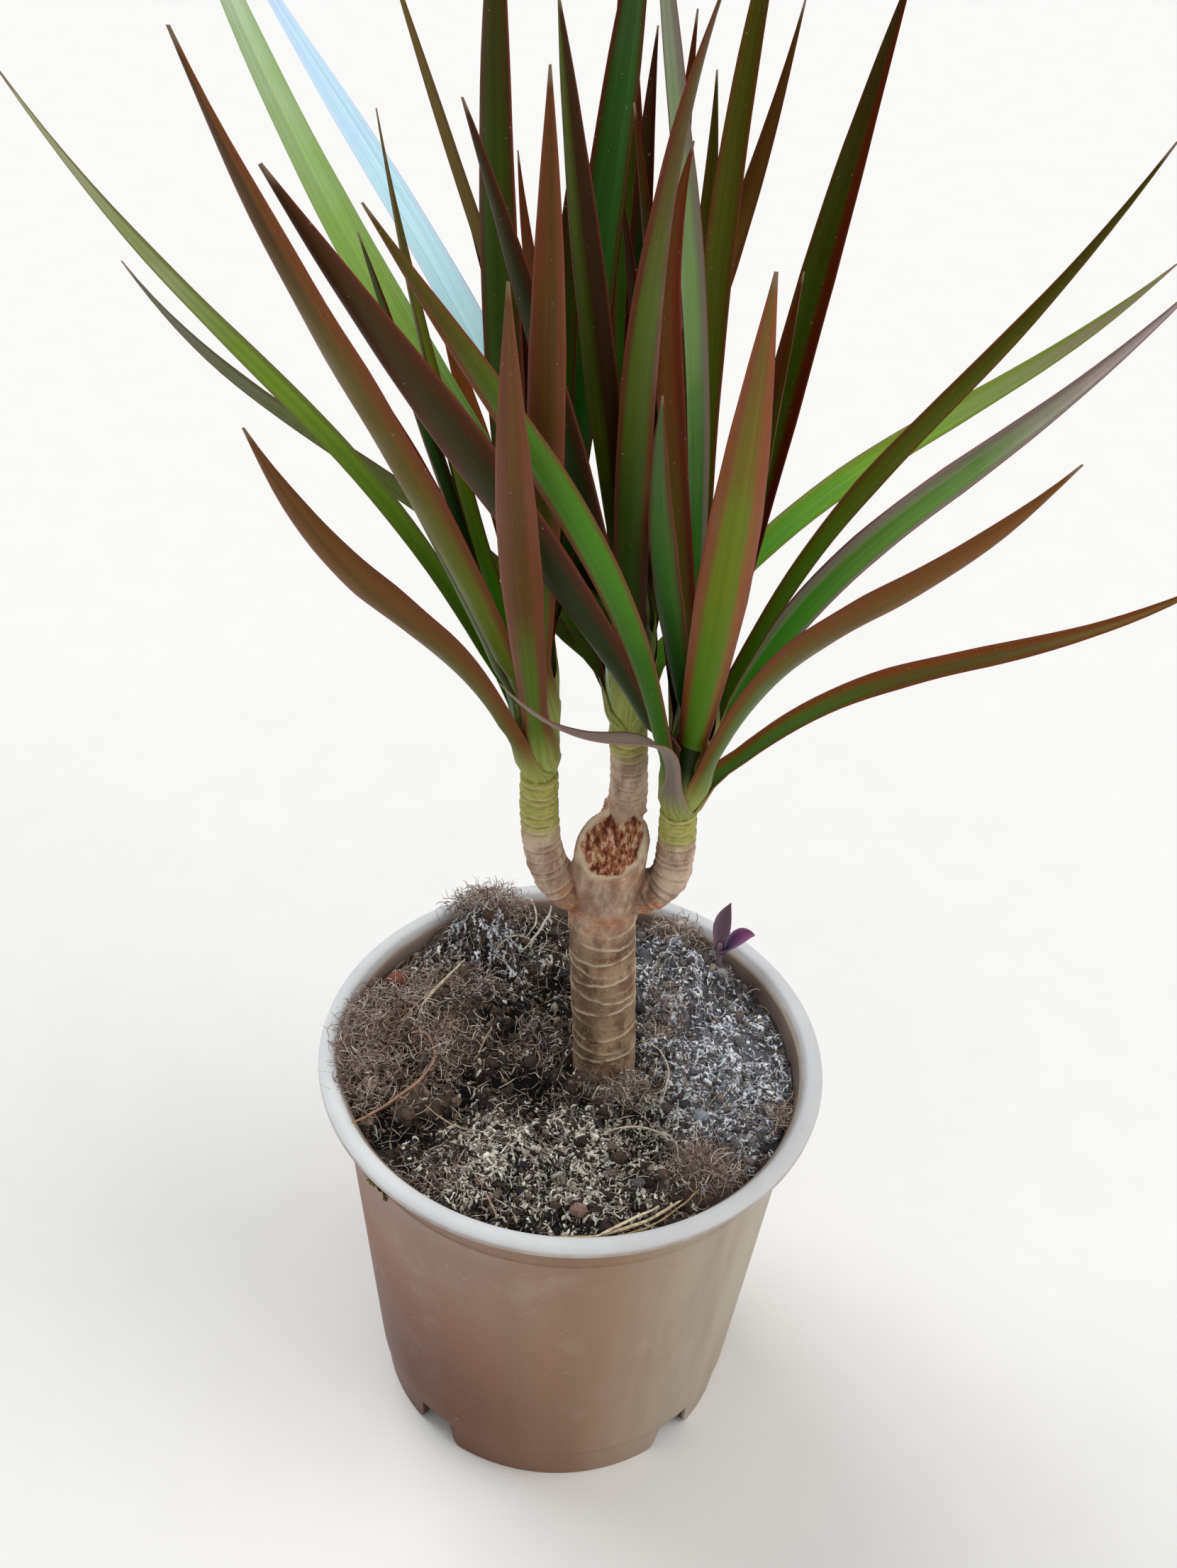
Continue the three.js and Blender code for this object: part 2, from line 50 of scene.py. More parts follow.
# ---- sizes, as in the CAD -------------------------------------------------------------------------------
POT = {
    "height": 154, "rim_radius": 85, "rim_height": 4.8, "mouth_radius": 79, "neck_radius": 78.05,
    "base_radius": 63, "wall": 1.6, "floor_underside": 8, "floor_top": 10,
    "foot_radius": 62.2, "foot_height": 15, "foot_inset": 0.7, "foot_width": 2.6,
    "notch_azimuths": (46, 136, 230.6, 315.5), "notch_inner_radius": 59,
    # half the notch's width and its height, from below the foot to its top
    "notch_outline": [(13, -1), (10.8, 0), (9.4, 0.8), (8.3, 2.2), (7.6, 4.5), (7.2, 8), (6.8, 13.6),
                      (6.4, 14.6), (5.6, 15)],
    "drain_radius": 4.5, "drain_circle_radius": 38, "drains": 4, "drain_sides": 32, "sides": 192,
    "bead_height": 135, "bead_radius": 0.45, "bead_half_height": 0.8, "sharp_angle": 34,
}
NECK_HEIGHT = POT["height"] - POT["rim_height"]
SOIL = {
    "level": 146.5, "edge_drop": 2.5, "edge_width": 12, "gap": 0.6, "crumb": 0.9,
    # the two waves of the crumbly surface: how they turn with x and with y
    "waves": ((0.41, 0.13), (-0.17, 0.37)),
    # x, y, height and radius of each mound (+) and hollow (-)
    "swells": [
        (-58, 6, 13, 26), (-34, 62, 15, 17), (36, 56, 7, 20), (46, -44, 4, 13),
        (-14, 46, -3, 12), (4, -22, -2, 14), (12, 2, 2.5, 22),
    ],
    # the same for the pits between the clods, which are painted dark as shade
    "pits": [
        (-66, -36, -4, 8), (-44, -38, -3, 9), (-14, -10, -3.5, 13), (-20, 22, -2.5, 9), (-14, 64, -6, 9),
        (2, -14, -2.5, 7), (-8, 38, -2.5, 8), (64, 22, -2.5, 8), (30, 8, -1.5, 7), (14, -36, -1.5, 6),
        (-30, -24, -2, 8), (72, 0, -3, 5), (-74, 22, -3, 6), (52, 62, -4, 8), (8, 76, -3, 8),
        (20, -62, -1.5, 8),
    ],
    # size, height and seed of the clods' noise, the small clods' and the grain's; dips are deeper than clods
    "clods": (12, 2.6, 11), "small_clods": (5, 0.55, 17), "grain": (2.6, 1.1, 31), "dip": 1.5, "sink": 0.6,
    # towards the wall the surface calms down to this share
    "calm": 0.3, "calm_radii": (76.5, 68), "shade_depths": (0.2, 2.4),
    "rows": 96, "sides": 330, "skirt_heights": (10.3, 80, 138),
}
# Patches on the soil: x, y, strength and radius. Crust lies in front, at the right, behind the cane and on
# the far side of the left mound; brown peat on the mounds.
CRUST_PATCHES = [
    (54, 2, 1.1, 30), (2, -46, 0.75, 30), (-26, -42, 0.55, 20), (-32, 54, 0.95, 18), (-62, 30, 0.6, 16),
    (30, 44, 0.6, 22), (26, -20, 0.6, 16), (-52, -12, -0.9, 17), (-14, -8, -0.8, 14),
]
BROWN_PATCHES = [
    (-58, -8, 1, 20), (-32, 66, 0.8, 17), (46, -45, 0.9, 13), (36, 66, 0.8, 14), (14, -6, 0.6, 12),
    (-50, 30, 0.4, 20),
]
COOL_PATCHES = [(-34, 54, 1, 22)]
LEAST_CRUST = 0.04
# The soil gets greyer and paler towards the right, by x and this share of y.
SIDE_LEAN = 0.35

# Colours of the small pieces, each with its share. Sizes of lumps: mean and spread of their logarithm.
CRUMBS = {
    "count": 3700, "size": (-0.3, 0.5), "limits": (0.35, 3.0), "stretch": (0.6, 1.25), "rise": (-0.25, 0.45),
    "palette": {"#241c19": 5, "#3b312c": 5, "#57483f": 4, "#7a6b60": 2.2, "#33323a": 1.6, "#948a80": 1},
    "grey": "#8c8f97", "brown": "#866c5c", "grey_from": (18, 45),
}
CRUST = {
    "count": 3500, "steps": 5, "sides": 5, "turn": 0.8, "pitch": (0.4, 1.0), "lift": (0.1, 0.9), "waver": 0.2,
    "reach": 75, "size": (-1.05, 0.35), "limits": (0.18, 0.7), "uneven": (0.45, 1.35), "cool_from": (16, 42),
    "warm": {"#d3cebf": 4, "#b5afa3": 4, "#8d8780": 3, "#e8e5db": 2.2, "#706a65": 1.6},
    "cool": {"#d6dae2": 4, "#b2b6bf": 4, "#848892": 2.4, "#f0f2f6": 3.4, "#66676e": 1.2},
}
FLAKES = {"count": 4300, "size": (-1.0, 0.45), "limits": (0.15, 0.9), "lift": (0, 1.1),
          "stretch": ((0.8, 0.5, 0.3), (1.9, 1.1, 0.7))}
FIBRE_STEPS = 7
FIBRES = {
    "count": 2600, "curl": 0.13, "girth": (0.07, 0.24), "taper": (0.6, 1, 1, 1, 0.95, 0.8, 0.4),
    "palette": {"#8a7869": 4, "#ab9986": 3, "#5b473b": 3, "#c8bdab": 2.4, "#776b62": 3}, "spread": 0.12,
    "reach": 75.5,
}
TUFT_FIBRES = {
    "curl": 0.3, "girth": (0.06, 0.18), "taper": (0.5, 1, 1, 1, 0.95, 0.8, 0.4), "reach": 82, "spread": 0.2,
    "palette": {"#937c70": 5, "#b29b8e": 5, "#695348": 3, "#cfbfb4": 4, "#9d867a": 3.5, "#e2d8d0": 3},
}
# Tufts of brown peat: x, y, height of the middle above the soil, half sizes and how many fibres.
TUFTS = [
    (-66, -14, 3.0, (13, 18, 5), 760), (-60, 14, 2.5, (15, 16, 4), 540), (-45, -6, 1.5, (14, 14, 3), 420),
    (-33, 66, 3.5, (16, 10, 5), 700), (46, -45, 2.0, (13, 8, 4), 620), (37, 66, 1.5, (13, 8, 3), 380),
    (70, -18, 1.5, (4, 5, 3), 150), (20, -12, 1.2, (11, 5, 2.5), 300), (-40, 32, 1.0, (16, 12, 2.5), 320),
    (31, 26, 1.0, (7, 13, 2.5), 260), (-14, 6, 0.8, (10, 12, 2), 160), (-40, -52, 0.8, (14, 8, 2), 140),
    (-75, -4, 4.5, (5, 20, 3), 420),
]
# Straws and roots that lie alone: three to four points, a radius and a colour.
STRANDS = [
    ([(-1, -76.4, 149.2), (16, -73.4, 149.6), (30, -66.8, 151.2), (37.5, -60, 151)], 0.55, "#c2b295"),
    ([(10.5, -75.6, 149.6), (20, -70.5, 151.2), (31, -63.5, 152)], 0.5, "#d0c2a6"),
    ([(18, -74.4, 149.4), (31, -67.9, 150), (43.5, -54.5, 151)], 0.35, "#a8906f"),
    ([(-4, -75.6, 148.6), (8, -75.2, 149.4), (22, -71.6, 149.2)], 0.3, "#8b7257"),
    ([(-54, 5.5, 160), (-47.5, 17.5, 161.5), (-39, 35, 159)], 0.45, "#cdbfa4"),
    ([(-58, 2, 161), (-50, 14, 162), (-44, 24, 160.5)], 0.25, "#b8a68a"),
    ([(-33, -6, 150.5), (-30, 1, 153), (-28, 10, 152)], 0.3, "#b39a82"),
    ([(-69.5, -39.5, 154.6), (-60, -33, 156.2), (-49, -20, 157), (-46, -8, 158.4)], 0.5, "#9b7a62"),
    ([(-46, -8, 158.4), (-49, -3, 160.5), (-54, -3.8, 161)], 0.4, "#a88a72"),
    ([(-20.5, 50.5, 149), (-13.5, 61.5, 152), (-11, 71.5, 153)], 0.5, "#b9b3a6"),
    ([(-19, 58.5, 149.5), (-16, 64.5, 153), (-18.5, 71.5, 156)], 0.4, "#c9c2b2"),
    ([(-29, 47, 152), (-24, 53.5, 154), (-16, 55, 150)], 0.4, "#a79f92"),
    ([(23.7, 10.6, 149.5), (32.3, 0.5, 150.5), (30.5, -18, 149.8)], 0.3, "#c7bda8"),
    ([(12, -31, 148.2), (23.5, -29, 149.8), (34, -31.5, 149)], 0.35, "#c5bba5"),
    ([(-31, -48, 148), (-23, -62, 148), (-20.5, -69, 147.6)], 0.35, "#a18770"),
    ([(-47, -26, 150.5), (-34.5, -34, 149.5), (-18, -35, 148.8)], 0.3, "#a8947e"),
]
STRAND = {"steps": 22, "sides": 8, "waver": 0.35, "waver_size": 4.0, "thinnest": 0.45, "uneven": (0.85, 1.15)}
# Stones: x, y, how far the middle lies above the soil, half sizes and a colour.
STONES = [
    (5.6, -63.5, 1.2, (2.5, 2.2, 2.9), "#8d736a"), (37.5, 68, 1.6, (3.2, 2.6, 2.6), "#c9c3bd"),
    (-62, 29, 1.5, (3.8, 3, 2.6), "#7b4a3c"), (44, -20, 0.8, (2.6, 2.2, 1.8), "#8d929c"),
    (61, 8, 0.8, (2.4, 2, 1.6), "#a9adb6"), (24, -52, 0.7, (2.1, 1.8, 1.5), "#5f5a5c"),
    (-38, -20, 0.8, (2.6, 2, 1.8), "#6b5a50"), (-8, 66, 0.8, (2.8, 2.2, 2), "#4d4440"),
]
STONE = {"rows": 14, "sides": 22, "uneven": 0.28, "lump_size": 0.9}
# The moss on the outside of the wall, under the rim.
MOSS = {
    "azimuths": (212, 222), "spread": 3.2, "heights": (132, 148.5), "crowding": 1.3, "count": 420,
    "size": (0.35, 0.9), "proud": (0.2, 1.6), "stretch": (0.6, 1.3),
    "palette": {"#4d4a24": 4, "#6a6333": 3, "#33301a": 3, "#857a45": 1.5},
}

CANE = {
    "x": 10.9, "y": 3, "bottom": 72, "radius": 10.5, "rows": 60, "sides": 72,
    # height, x of the axis and radius there
    "stations": [(72, 10.9, 10.3), (153, 10.9, 10.5), (205, 7.4, 10.8), (214, 6.8, 11), (228, 7.4, 11.6),
                 (266, 9.8, 11.4)],
    # the slanting saw cut: its middle, and its rise per mm towards the right and the back
    "cut_centre": (8.6, 3, 244.4), "cut_slope": (0.2, 0.5196), "pith_radius": 8.6, "pith_depth": 3.2,
    # rings of the cut face, as shares of its radius, and where the pith's hollow begins and is full
    "cut_rings": (0.95, 0.86, 0.76, 0.66, 0.5, 0.34, 0.18, 0.04), "pith_shares": (0.84, 0.5),
}
CROWNS = {
    "left": {"seat": (-15.5, 2, 272), "axis": (-0.05, 0, 1), "seed": 21},
    "middle": {"seat": (10.5, 13, 284), "axis": (0, 0.05, 1), "seed": 22},
    "right": {"seat": (28, 3, 260), "axis": (0.08, -0.03, 1), "seed": 23},
}
# Each branch leaves the cane under the cut and ends at its crown's seat: x, y, z and the radius there.
BRANCHES = {
    "left": [(6, 3, 222.5, 7.6), (-3, 2.5, 225, 7.2), (-9.5, 2, 231.5, 6.5), (-13.2, 2, 242, 6),
             (-14.8, 2, 256, 6)],
    "middle": [(8.5, 9, 232, 7.6), (10.6, 15.5, 241, 7.2), (12.3, 16.4, 252, 6.1), (12, 14.8, 266, 5.8)],
    "right": [(9, 3, 223, 7.6), (20, 2.5, 226, 6.8), (26.6, 2, 232.5, 6.2), (28.3, 3, 243, 6)],
}
BRANCH = {"tip_radius": 5.9, "steps": 90, "sides": 40}
# Leaf scars on the cane: height, tilt in mm, azimuth of the high side, azimuth where the line is strong.
SCARS = [
    (202, 1.6, 20, 300), (192, 2.2, 350, 310), (184.5, 1.2, 180, 250), (178, 2.6, 340, 290),
    (172, 1.2, 200, 120), (167, 1.8, 10, 300), (161.5, 1.0, 90, 200), (156, 2.4, 330, 280),
    (150, 1.4, 160, 90), (144, 1.6, 350, 290), (209, 1.4, 150, 230), (197, 1.4, 120, 150), (188, 1.4, 60, 60),
    (215, 1.2, 80, 30),
]
BARK = {
    "voxel": 0.5, "smoothing": 5,
    "line_width": 0.55, "ridge_width": 0.6, "groove_width": 0.9, "groove_below": 1.3,
    # rings of the branches: their pitch, tilt and how far the next one's high side is turned, in radians
    "ring_pitch": 3.7, "ring_tilt": 0.8, "ring_turn": 2.4,
    # left, middle and right branch: heights where the green begins and is full, heights where the red-brown
    # of the joint ends and is full, and how far along the branch the joint begins
    "green": ((247, 256), (270, 279), (247, 252)), "joint": ((238, 228), (252, 243), (238, 228)),
    "joint_start": (0, 9, 0),
    # the dark fork between the cane and the right branch, and the dark collar of the middle branch
    "fork_x": 20, "fork_z": 231, "fork_half": (4, 7), "collar_z": 247, "collar_half": 3.5,
}
# Height above the seat and radius of the stem that the leaves clasp.
SHEATH = [(0, 5.9), (5, 6.9), (14, 7.4), (28, 7), (42, 5.6), (54, 3.2), (64, 0.8)]

LEAF = {
    "root_radius": 5.5, "root_taper": 0.06, "trough": 0.16, "clasp_trough": 0.25, "clasp_length": 0.15,
    "outline": [(0, .6), (.08, .68), (.25, .88), (.42, 1), (.6, .92), (.75, .7), (.88, .4), (.96, .17),
                (1, .06)],
    "tip_width": 0.5, "thickness": 0.6, "edge_thickness": 0.14, "stations": 34, "across": 9, "crowding": 1.12,
    "wrap_length": 17, "wrap_stations": 7, "wrap_angle": 2.3, "wrap_rise": 1.6, "wrap_below": 1.6,
    "stem_sides": 24,
    # how far to each side the blade clasps the stem after it leaves it: share of the length and radians
    "opening": [(0, 1.15), (0.06, 0.7), (0.1, 0.5)],
    # the faint waves of the edges: how many, up to which phase, and their height as a share of the width
    "waves": (5, 9), "wave_turn": 6.28, "wave_height": 0.012,
}

# Leaf colours: centre near the root, half way and near the tip, flanks, how far the flanks reach in (0 to 1),
# and how much further one of them does.
LOOKS = {
    "pale": ("#5f7f35", "#7d9458", "#a3a284", "#7f7a5a", 0.25, 0),
    "rose": ("#5f5c30", "#67482f", "#6b4232", "#73463a", 0.6, 0),
    "amber": ("#66761c", "#63501c", "#4e2a16", "#74402e", 0.45, 0),
    "cocoa": ("#54692a", "#5e3b2a", "#6c4738", "#6a342c", 0.60, 0),
    "chestnut": ("#55661c", "#5f3a22", "#643424", "#6e3428", 0.55, 0),
    "forest": ("#2c5c12", "#3a5412", "#43280f", "#4e2416", 0.35, 0),
    "grass": ("#4f8a1c", "#7a8a2c", "#3f3a38", "#6a5a2c", 0.30, 0),
    "rust": ("#6a5a1c", "#7a4418", "#6a3414", "#7a3c18", 0.50, 0),
    "fern": ("#2a5a2c", "#3c6c3a", "#52684c", "#5a2c22", 0.30, 0),
    "dusk": ("#5a6a40", "#6b6f50", "#7a776a", "#6b6450", 0.30, 0),
    "night": ("#14260c", "#1c3a12", "#3c2410", "#3c1812", 0.55, 0),
    # partly painted light: this look's green foot is the leaf's own colour, its pale middle and tip are
    # painted light shining through the leaf from behind
    "backlit_pale": ("#4a8a2c", "#8fae78", "#b7c4ac", "#98b084", 0.18, 0),
    # painted reflection: this look paints the sky's pale blue reflection on one leaf as its colour
    "sky_reflection": ("#a4c8b0", "#bcdde0", "#bcd0e4", "#c4d4e4", 0.20, 0),
    "straw": ("#6a6a40", "#7a6a55", "#75604c", "#6a5a48", 0.40, 0),
    "russet": ("#54501c", "#5f3a20", "#5c3020", "#5f2c1c", 0.60, 0),
    "split": ("#6a7018", "#4c5a16", "#56631c", "#40180e", 0.55, 0.45),
    "moss": ("#33480f", "#55661a", "#5a3420", "#62302a", 0.50, 0.25),
    "umber": ("#5f6a2c", "#6a5230", "#61402a", "#5c3a28", 0.55, 0),
    "meadow": ("#4f8a34", "#729452", "#857c66", "#748452", 0.30, 0),
    "willow": ("#2f6a1a", "#78906a", "#8f8c80", "#80746a", 0.3, 0),
    "olive": ("#4c6a1c", "#565a20", "#4c461c", "#5a4022", 0.35, 0),
    "oak": ("#466a14", "#3c4c0e", "#40280e", "#5e2412", 0.38, -0.3),
    "lit": ("#557c18", "#6e7c26", "#7c5a3e", "#8a4838", 0.45, 0),
    "mauve": ("#4a8a3c", "#5f8250", "#a08f8a", "#86766f", 0.40, 0),
    "shell": ("#566a34", "#6f5640", "#85503f", "#7a4a3c", 0.55, 0),
    "cord": ("#4a6a2c", "#5f5038", "#7d5c4e", "#74402f", 0.50, 0),
    "lilac": ("#7a6f68", "#93837c", "#a09692", "#86766f", 0.60, 0),
    "ink": ("#0f2a0c", "#2c2c14", "#4c2616", "#4c2020", 0.50, 0),
    "clover": ("#3c6a28", "#4f8036", "#5c4822", "#6a3a2a", 0.35, -0.3),
}
# One row a leaf: height of its root above the seat, tip, lift, arch, bow, width, twist and look.
LEAVES = {
    "left": [
        (14, (-182, 90, 446), 30, -33, -14, 9, 0, "pale"),
        (6, (-90, -55, 421), 26, -24, 5, 14, 50, "rose"),
        (22, (-90, -110, 542), 26, -10, -3, 14, 0, "amber"),
        (10, (-23, -118, 497), 20, -12, -2, 11, 0, "cocoa"),
        (30, (-18, -75, 525), 15, 3, 1, 10, 0, "chestnut"),
        (36, (-34, -12, 557), -6, 4, -7, 11, 0, "forest"),
        (26, (-66, 25, 470), 6, -2, 7, 11, 30, "grass"),
        (36, (-57, 95, 384), 22, -5, -1, 7, 0, "rust"),
        (40, (2, 49, 541), -4, 10, 0, 14, 0, "fern"),
        (38, (-14, 18, 475), 5, 3, 0, 11, 0, "forest"),
        (20, (-103, -25, 496), 8, 0, 0, 12, 0, "olive"),
        (14, (-69, 7, 444), 12, 0, 0, 11, 0, "fern"),
        (34, (-110, 46, 443), 12, -4, 0, 11, 0, "amber"),
        (8, (-33, 23, 457), 6, 3, 0, 11, 0, "night"),
    ],
    "middle": [
        (8, (-155, 105, 381), 38, -14, 9, 8, 0, "dusk"),
        (28, (-38, -52, 507), 6, 8, -1, 10, 0, "night"),
        (22, (-137, 107, 520), -4, -18, 14, 16, 0, "backlit_pale"),
        (16, (-121, 118, 486), 30, -1, -5, 13, 0, "sky_reflection"),
        (34, (-69, 59, 505), -2, 0, 5, 7, 0, "straw"),
        (30, (-34, 115, 421), 5, -9, 7, 7, 0, "russet"),
        (34, (-43, 80, 377), 8, -4, 4, 7, 0, "rust"),
        (38, (-18, -45, 529), 2, 7, -2, 10, 0, "split"),
        (44, (5, 60, 483), 15, 5, 4, 7, 0, "night"),
        (18, (18, -63, 543), 32, 24, -10, 13, 60, "moss"),
        (40, (15, 55, 490), 16, -2, 1, 7, 0, "russet"),
        (26, (45, 83, 485), 54, -35, 5, 9, 0, "umber"),
        (12, (168, 107, 402), 29, -21, 13, 12, 0, "meadow"),
        (36, (15, 75, 425), 0, -14, -10, 7, 0, "willow"),
        (42, (22, 70, 468), 13, -4, -6, 7, 0, "olive"),
        (5, (27, 100, 414), 16, -8, 0, 11, 0, "fern"),
        (14, (-8, 100, 437), 14, -4, 0, 12, 0, "olive"),
        (28, (-6, 89, 503), 8, 0, 0, 12, 0, "forest"),
        (8, (-44, 49, 432), 10, -4, 0, 11, 0, "night"),
        (5, (-91, 93, 406), 14, -8, 0, 11, 0, "olive"),
    ],
    "right": [
        (36, (-1, 24, 552), 38, -14, -8, 13, 0, "willow"),
        (38, (37, 61, 538), 12, 0, 12, 9, 0, "olive"),
        (30, (68, 41, 509), 14, 10, 2, 11, 0, "oak"),
        (20, (31, -110, 499), 12, -7, 1, 14, 0, "lit"),
        (26, (144, 44, 467), 28, -36, 18, 9, 0, "olive"),
        (16, (163, 64, 415), 23, -34, 24, 14, 0, "mauve"),
        (10, (113, -60, 429), 52, -7, -24, 12, -50, "shell"),
        (4, (183, 37, 334), 19, -32, 24, 11, 0, "cord"),
        (5, (-24, -80, 367), 42, -14, 15, 8, 0, "lilac"),
        (18, (-78, -84, 503), 12, -1, 3, 15, 55, "ink"),
        (8, (-58, -72, 490), 35, 8, 20, 11, 55, "clover"),
        (32, (11, -70, 446), 11, -3, -6, 9, 0, "fern"),
        (42, (16, 20, 469), 50, 24, 22, 11, 0, "russet"),
        (6, (18, 96, 388), 16, -8, 0, 11, 0, "olive"),
        (40, (0, 18, 479), 6, 3, 0, 11, 0, "forest"),
        (34, (46, -1, 445), 6, 3, 0, 10, 0, "moss"),
        (12, (34, -39, 424), 10, 0, 0, 11, 0, "night"),
        (24, (-2, 34, 448), 6, 3, 0, 10, 0, "night"),
    ],
}
LEAF_COLOURS = ("low", "mid", "high", "flank")
LEAF_FIELDS = (*LEAF_COLOURS, "reach", "lean", "blade", "under")
STEM_COLOUR = "#8f9c4a"
# How much stronger and darker the leaves are than the table's colours, to balance the pale studio: gains of
# red, green and blue, what a bluish colour keeps of its blue, and what a light colour gains.
VIVID, DEEPEN, COOL, LIGHTEN = 1.1, (0.86, 0.88, 0.32), 0.6, 0.5

SEEDLING = {
    "foot": (50, 50), "stem_radius": 1.1, "stem_bottom": 140, "stem_top": 160, "leaf_root": 157,
    # tip, lift, arch, bow, width, twist
    "leaves": [((52, 53, 177), 2, 0, 1, 7, 0), ((61, 46, 169), 1, 4, 0, 7.5, 30)],
    "settings": {"stations": 22, "trough": 0.3, "thickness": 0.8}, "stem_rows": 8, "stem_sides": 16,
}
# Large odd numbers that scramble the cells of the noise.
HASH = (374761393, 668265263, 1442695041, 1274126177)
# A ball of twenty triangles, the base of every crumb and flake.
ICO = np.array([(0, 0, 1), (.894, 0, .447), (.276, .851, .447), (-.724, .526, .447), (-.724, -.526, .447),
                (.276, -.851, .447), (.724, .526, -.447), (-.276, .851, -.447), (-.894, 0, -.447),
                (-.276, -.851, -.447), (.724, -.526, -.447), (0, 0, -1)])
ICO_FACES = np.array([(0, 1, 2), (0, 2, 3), (0, 3, 4), (0, 4, 5), (0, 5, 1), (1, 6, 2), (2, 7, 3), (3, 8, 4),
                      (4, 9, 5), (5, 10, 1), (6, 7, 2), (7, 8, 3), (8, 9, 4), (9, 10, 5), (10, 6, 1),
                      (11, 7, 6), (11, 8, 7), (11, 9, 8), (11, 10, 9), (11, 6, 10)])


# ---- arithmetic helpers ---------------------------------------------------------------------------------
def colour(text):
    """A linear colour from a #rrggbb display colour."""
    shares = [int(text[place:place + 2], 16) / 255 for place in (1, 3, 5)]
    linear = [share / 12.92 if share <= 0.04045 else ((share + 0.055) / 1.055) ** 2.4 for share in shares]
    return (*linear, 1.0)


def interpolate(table, at):
    return np.interp(at, *zip(*table))


def smooth(low, high, value):
    share = np.clip((value - low) / (high - low), 0, 1)
    return share * share * (3 - 2 * share)


def bell(value, width):
    return np.exp(-(value / width) ** 2)


def unit(vectors):
    return vectors / np.maximum(np.linalg.norm(vectors, axis=-1, keepdims=True), 1e-12)


def round_angles(count):
    return np.arange(count) * 2 * math.pi / count


def lattice(cell, seed):
    """A fixed pseudo-random number from 0 to 1 for each integer cell."""
    mixed = sum(cell[..., axis] * HASH[axis] for axis in range(3)) + seed * HASH[3]
    mixed = mixed & 0xFFFFFFFF
    mixed = ((mixed ^ (mixed >> 13)) * HASH[3]) & 0xFFFFFFFF
    return ((mixed ^ (mixed >> 16)) & 0xFFFF) / 65535.0


def value_noise(points, size, seed):
    """Smooth noise from -1 to 1 with cells of the given size."""
    scaled = points / size
    cell = np.floor(scaled).astype(np.int64)
    part = scaled - cell
    part = part * part * (3 - 2 * part)
    total = np.zeros(points.shape[:-1])
    for corner in range(8):
        step = np.array([corner & 1, corner >> 1 & 1, corner >> 2 & 1])
        weight = np.prod(np.where(step, part, 1 - part), axis=-1)
        total += weight * lattice(cell + step, seed)
    return 2 * total - 1


def layered_noise(points, size, seed, layers=3):
    """Noise with finer and weaker noise on top."""
    return sum(value_noise(points, size / 2 ** layer, seed + layer) / 2 ** layer for layer in range(layers))


def bezier(start, lower, upper, end, share):
    """Points and unit tangents of a cubic curve."""
    s = np.asarray(share)[:, None]
    points = (1 - s) ** 3 * start + 3 * (1 - s) ** 2 * s * lower + 3 * (1 - s) * s ** 2 * upper + s ** 3 * end
    slopes = (1 - s) ** 2 * (lower - start) + 2 * (1 - s) * s * (upper - lower) + s ** 2 * (end - upper)
    return points, unit(slopes)


def turn_about(vectors, axes, angles):
    """Vectors turned about unit axes, row by row."""
    cosine, sine = np.cos(angles)[:, None], np.sin(angles)[:, None]
    along = np.sum(vectors * axes, axis=1, keepdims=True)
    return vectors * cosine + np.cross(axes, vectors) * sine + axes * along * (1 - cosine)


# ---- mesh helpers ---------------------------------------------------------------------------------------
def grid_faces(rows, columns):
    """Quads between closed rows of points."""
    row, column = np.meshgrid(np.arange(rows - 1), np.arange(columns), indexing="ij")
    a, b = row * columns + column, row * columns + (column + 1) % columns
    return np.stack([a, b, b + columns, a + columns], axis=-1).reshape(-1, 4)


def add_object(name, data):
    made = bpy.data.objects.new(name, data)
    bpy.context.scene.collection.objects.link(made)
    return made


def make_mesh(name, points, faces, material, fields=None):
    """A smooth mesh object from points, arrays of faces of one kind each, and values at the points."""
    corners = np.concatenate([np.ravel(part) for part in faces]).astype(np.int32)
    sides = np.concatenate([np.full(len(part), len(part[0])) for part in faces])
    mesh = bpy.data.meshes.new(name)
    mesh.vertices.add(len(points))
    mesh.vertices.foreach_set("co", (np.asarray(points, dtype=np.float32) * MM).ravel())
    mesh.loops.add(len(corners))
    mesh.loops.foreach_set("vertex_index", corners)
    mesh.polygons.add(len(sides))
    mesh.polygons.foreach_set("loop_start", np.concatenate([[0], np.cumsum(sides)[:-1]]).astype(np.int32))
    mesh.update(calc_edges=True)
    mesh.polygons.foreach_set("use_smooth", np.full(len(sides), True))
    add_fields(mesh, fields or {})
    mesh.validate()
    mesh.materials.append(material)
    return add_object(name, mesh)


def add_fields(mesh, fields):
    """Adds named values at the points: numbers, vectors or colours."""
    kinds = {0: ("FLOAT", "value"), 3: ("FLOAT_VECTOR", "vector"), 4: ("FLOAT_COLOR", "color")}
    for label, values in fields.items():
        values = np.asarray(values, dtype=np.float32)
        kind, key = kinds[values.shape[1] if values.ndim > 1 else 0]
        mesh.attributes.new(label, kind, "POINT").data.foreach_set(key, values.ravel())


def vectors_of(mesh, label):
    values = np.empty(len(mesh.vertices) * 3, dtype=np.float32)
    mesh.vertices.foreach_get(label, values)
    return values.reshape(-1, 3)


def apply_modifiers(piece):
    """Replaces the piece's mesh by what its modifiers make of it."""
    graph = bpy.context.evaluated_depsgraph_get()
    graph.update()
    finished = bpy.data.meshes.new_from_object(piece.evaluated_get(graph))
    piece.modifiers.clear()
    piece.data = finished


def ring(centre, across, along, radius, sides):
    angle = round_angles(sides)
    return centre + radius * (np.cos(angle)[:, None] * across + np.sin(angle)[:, None] * along)


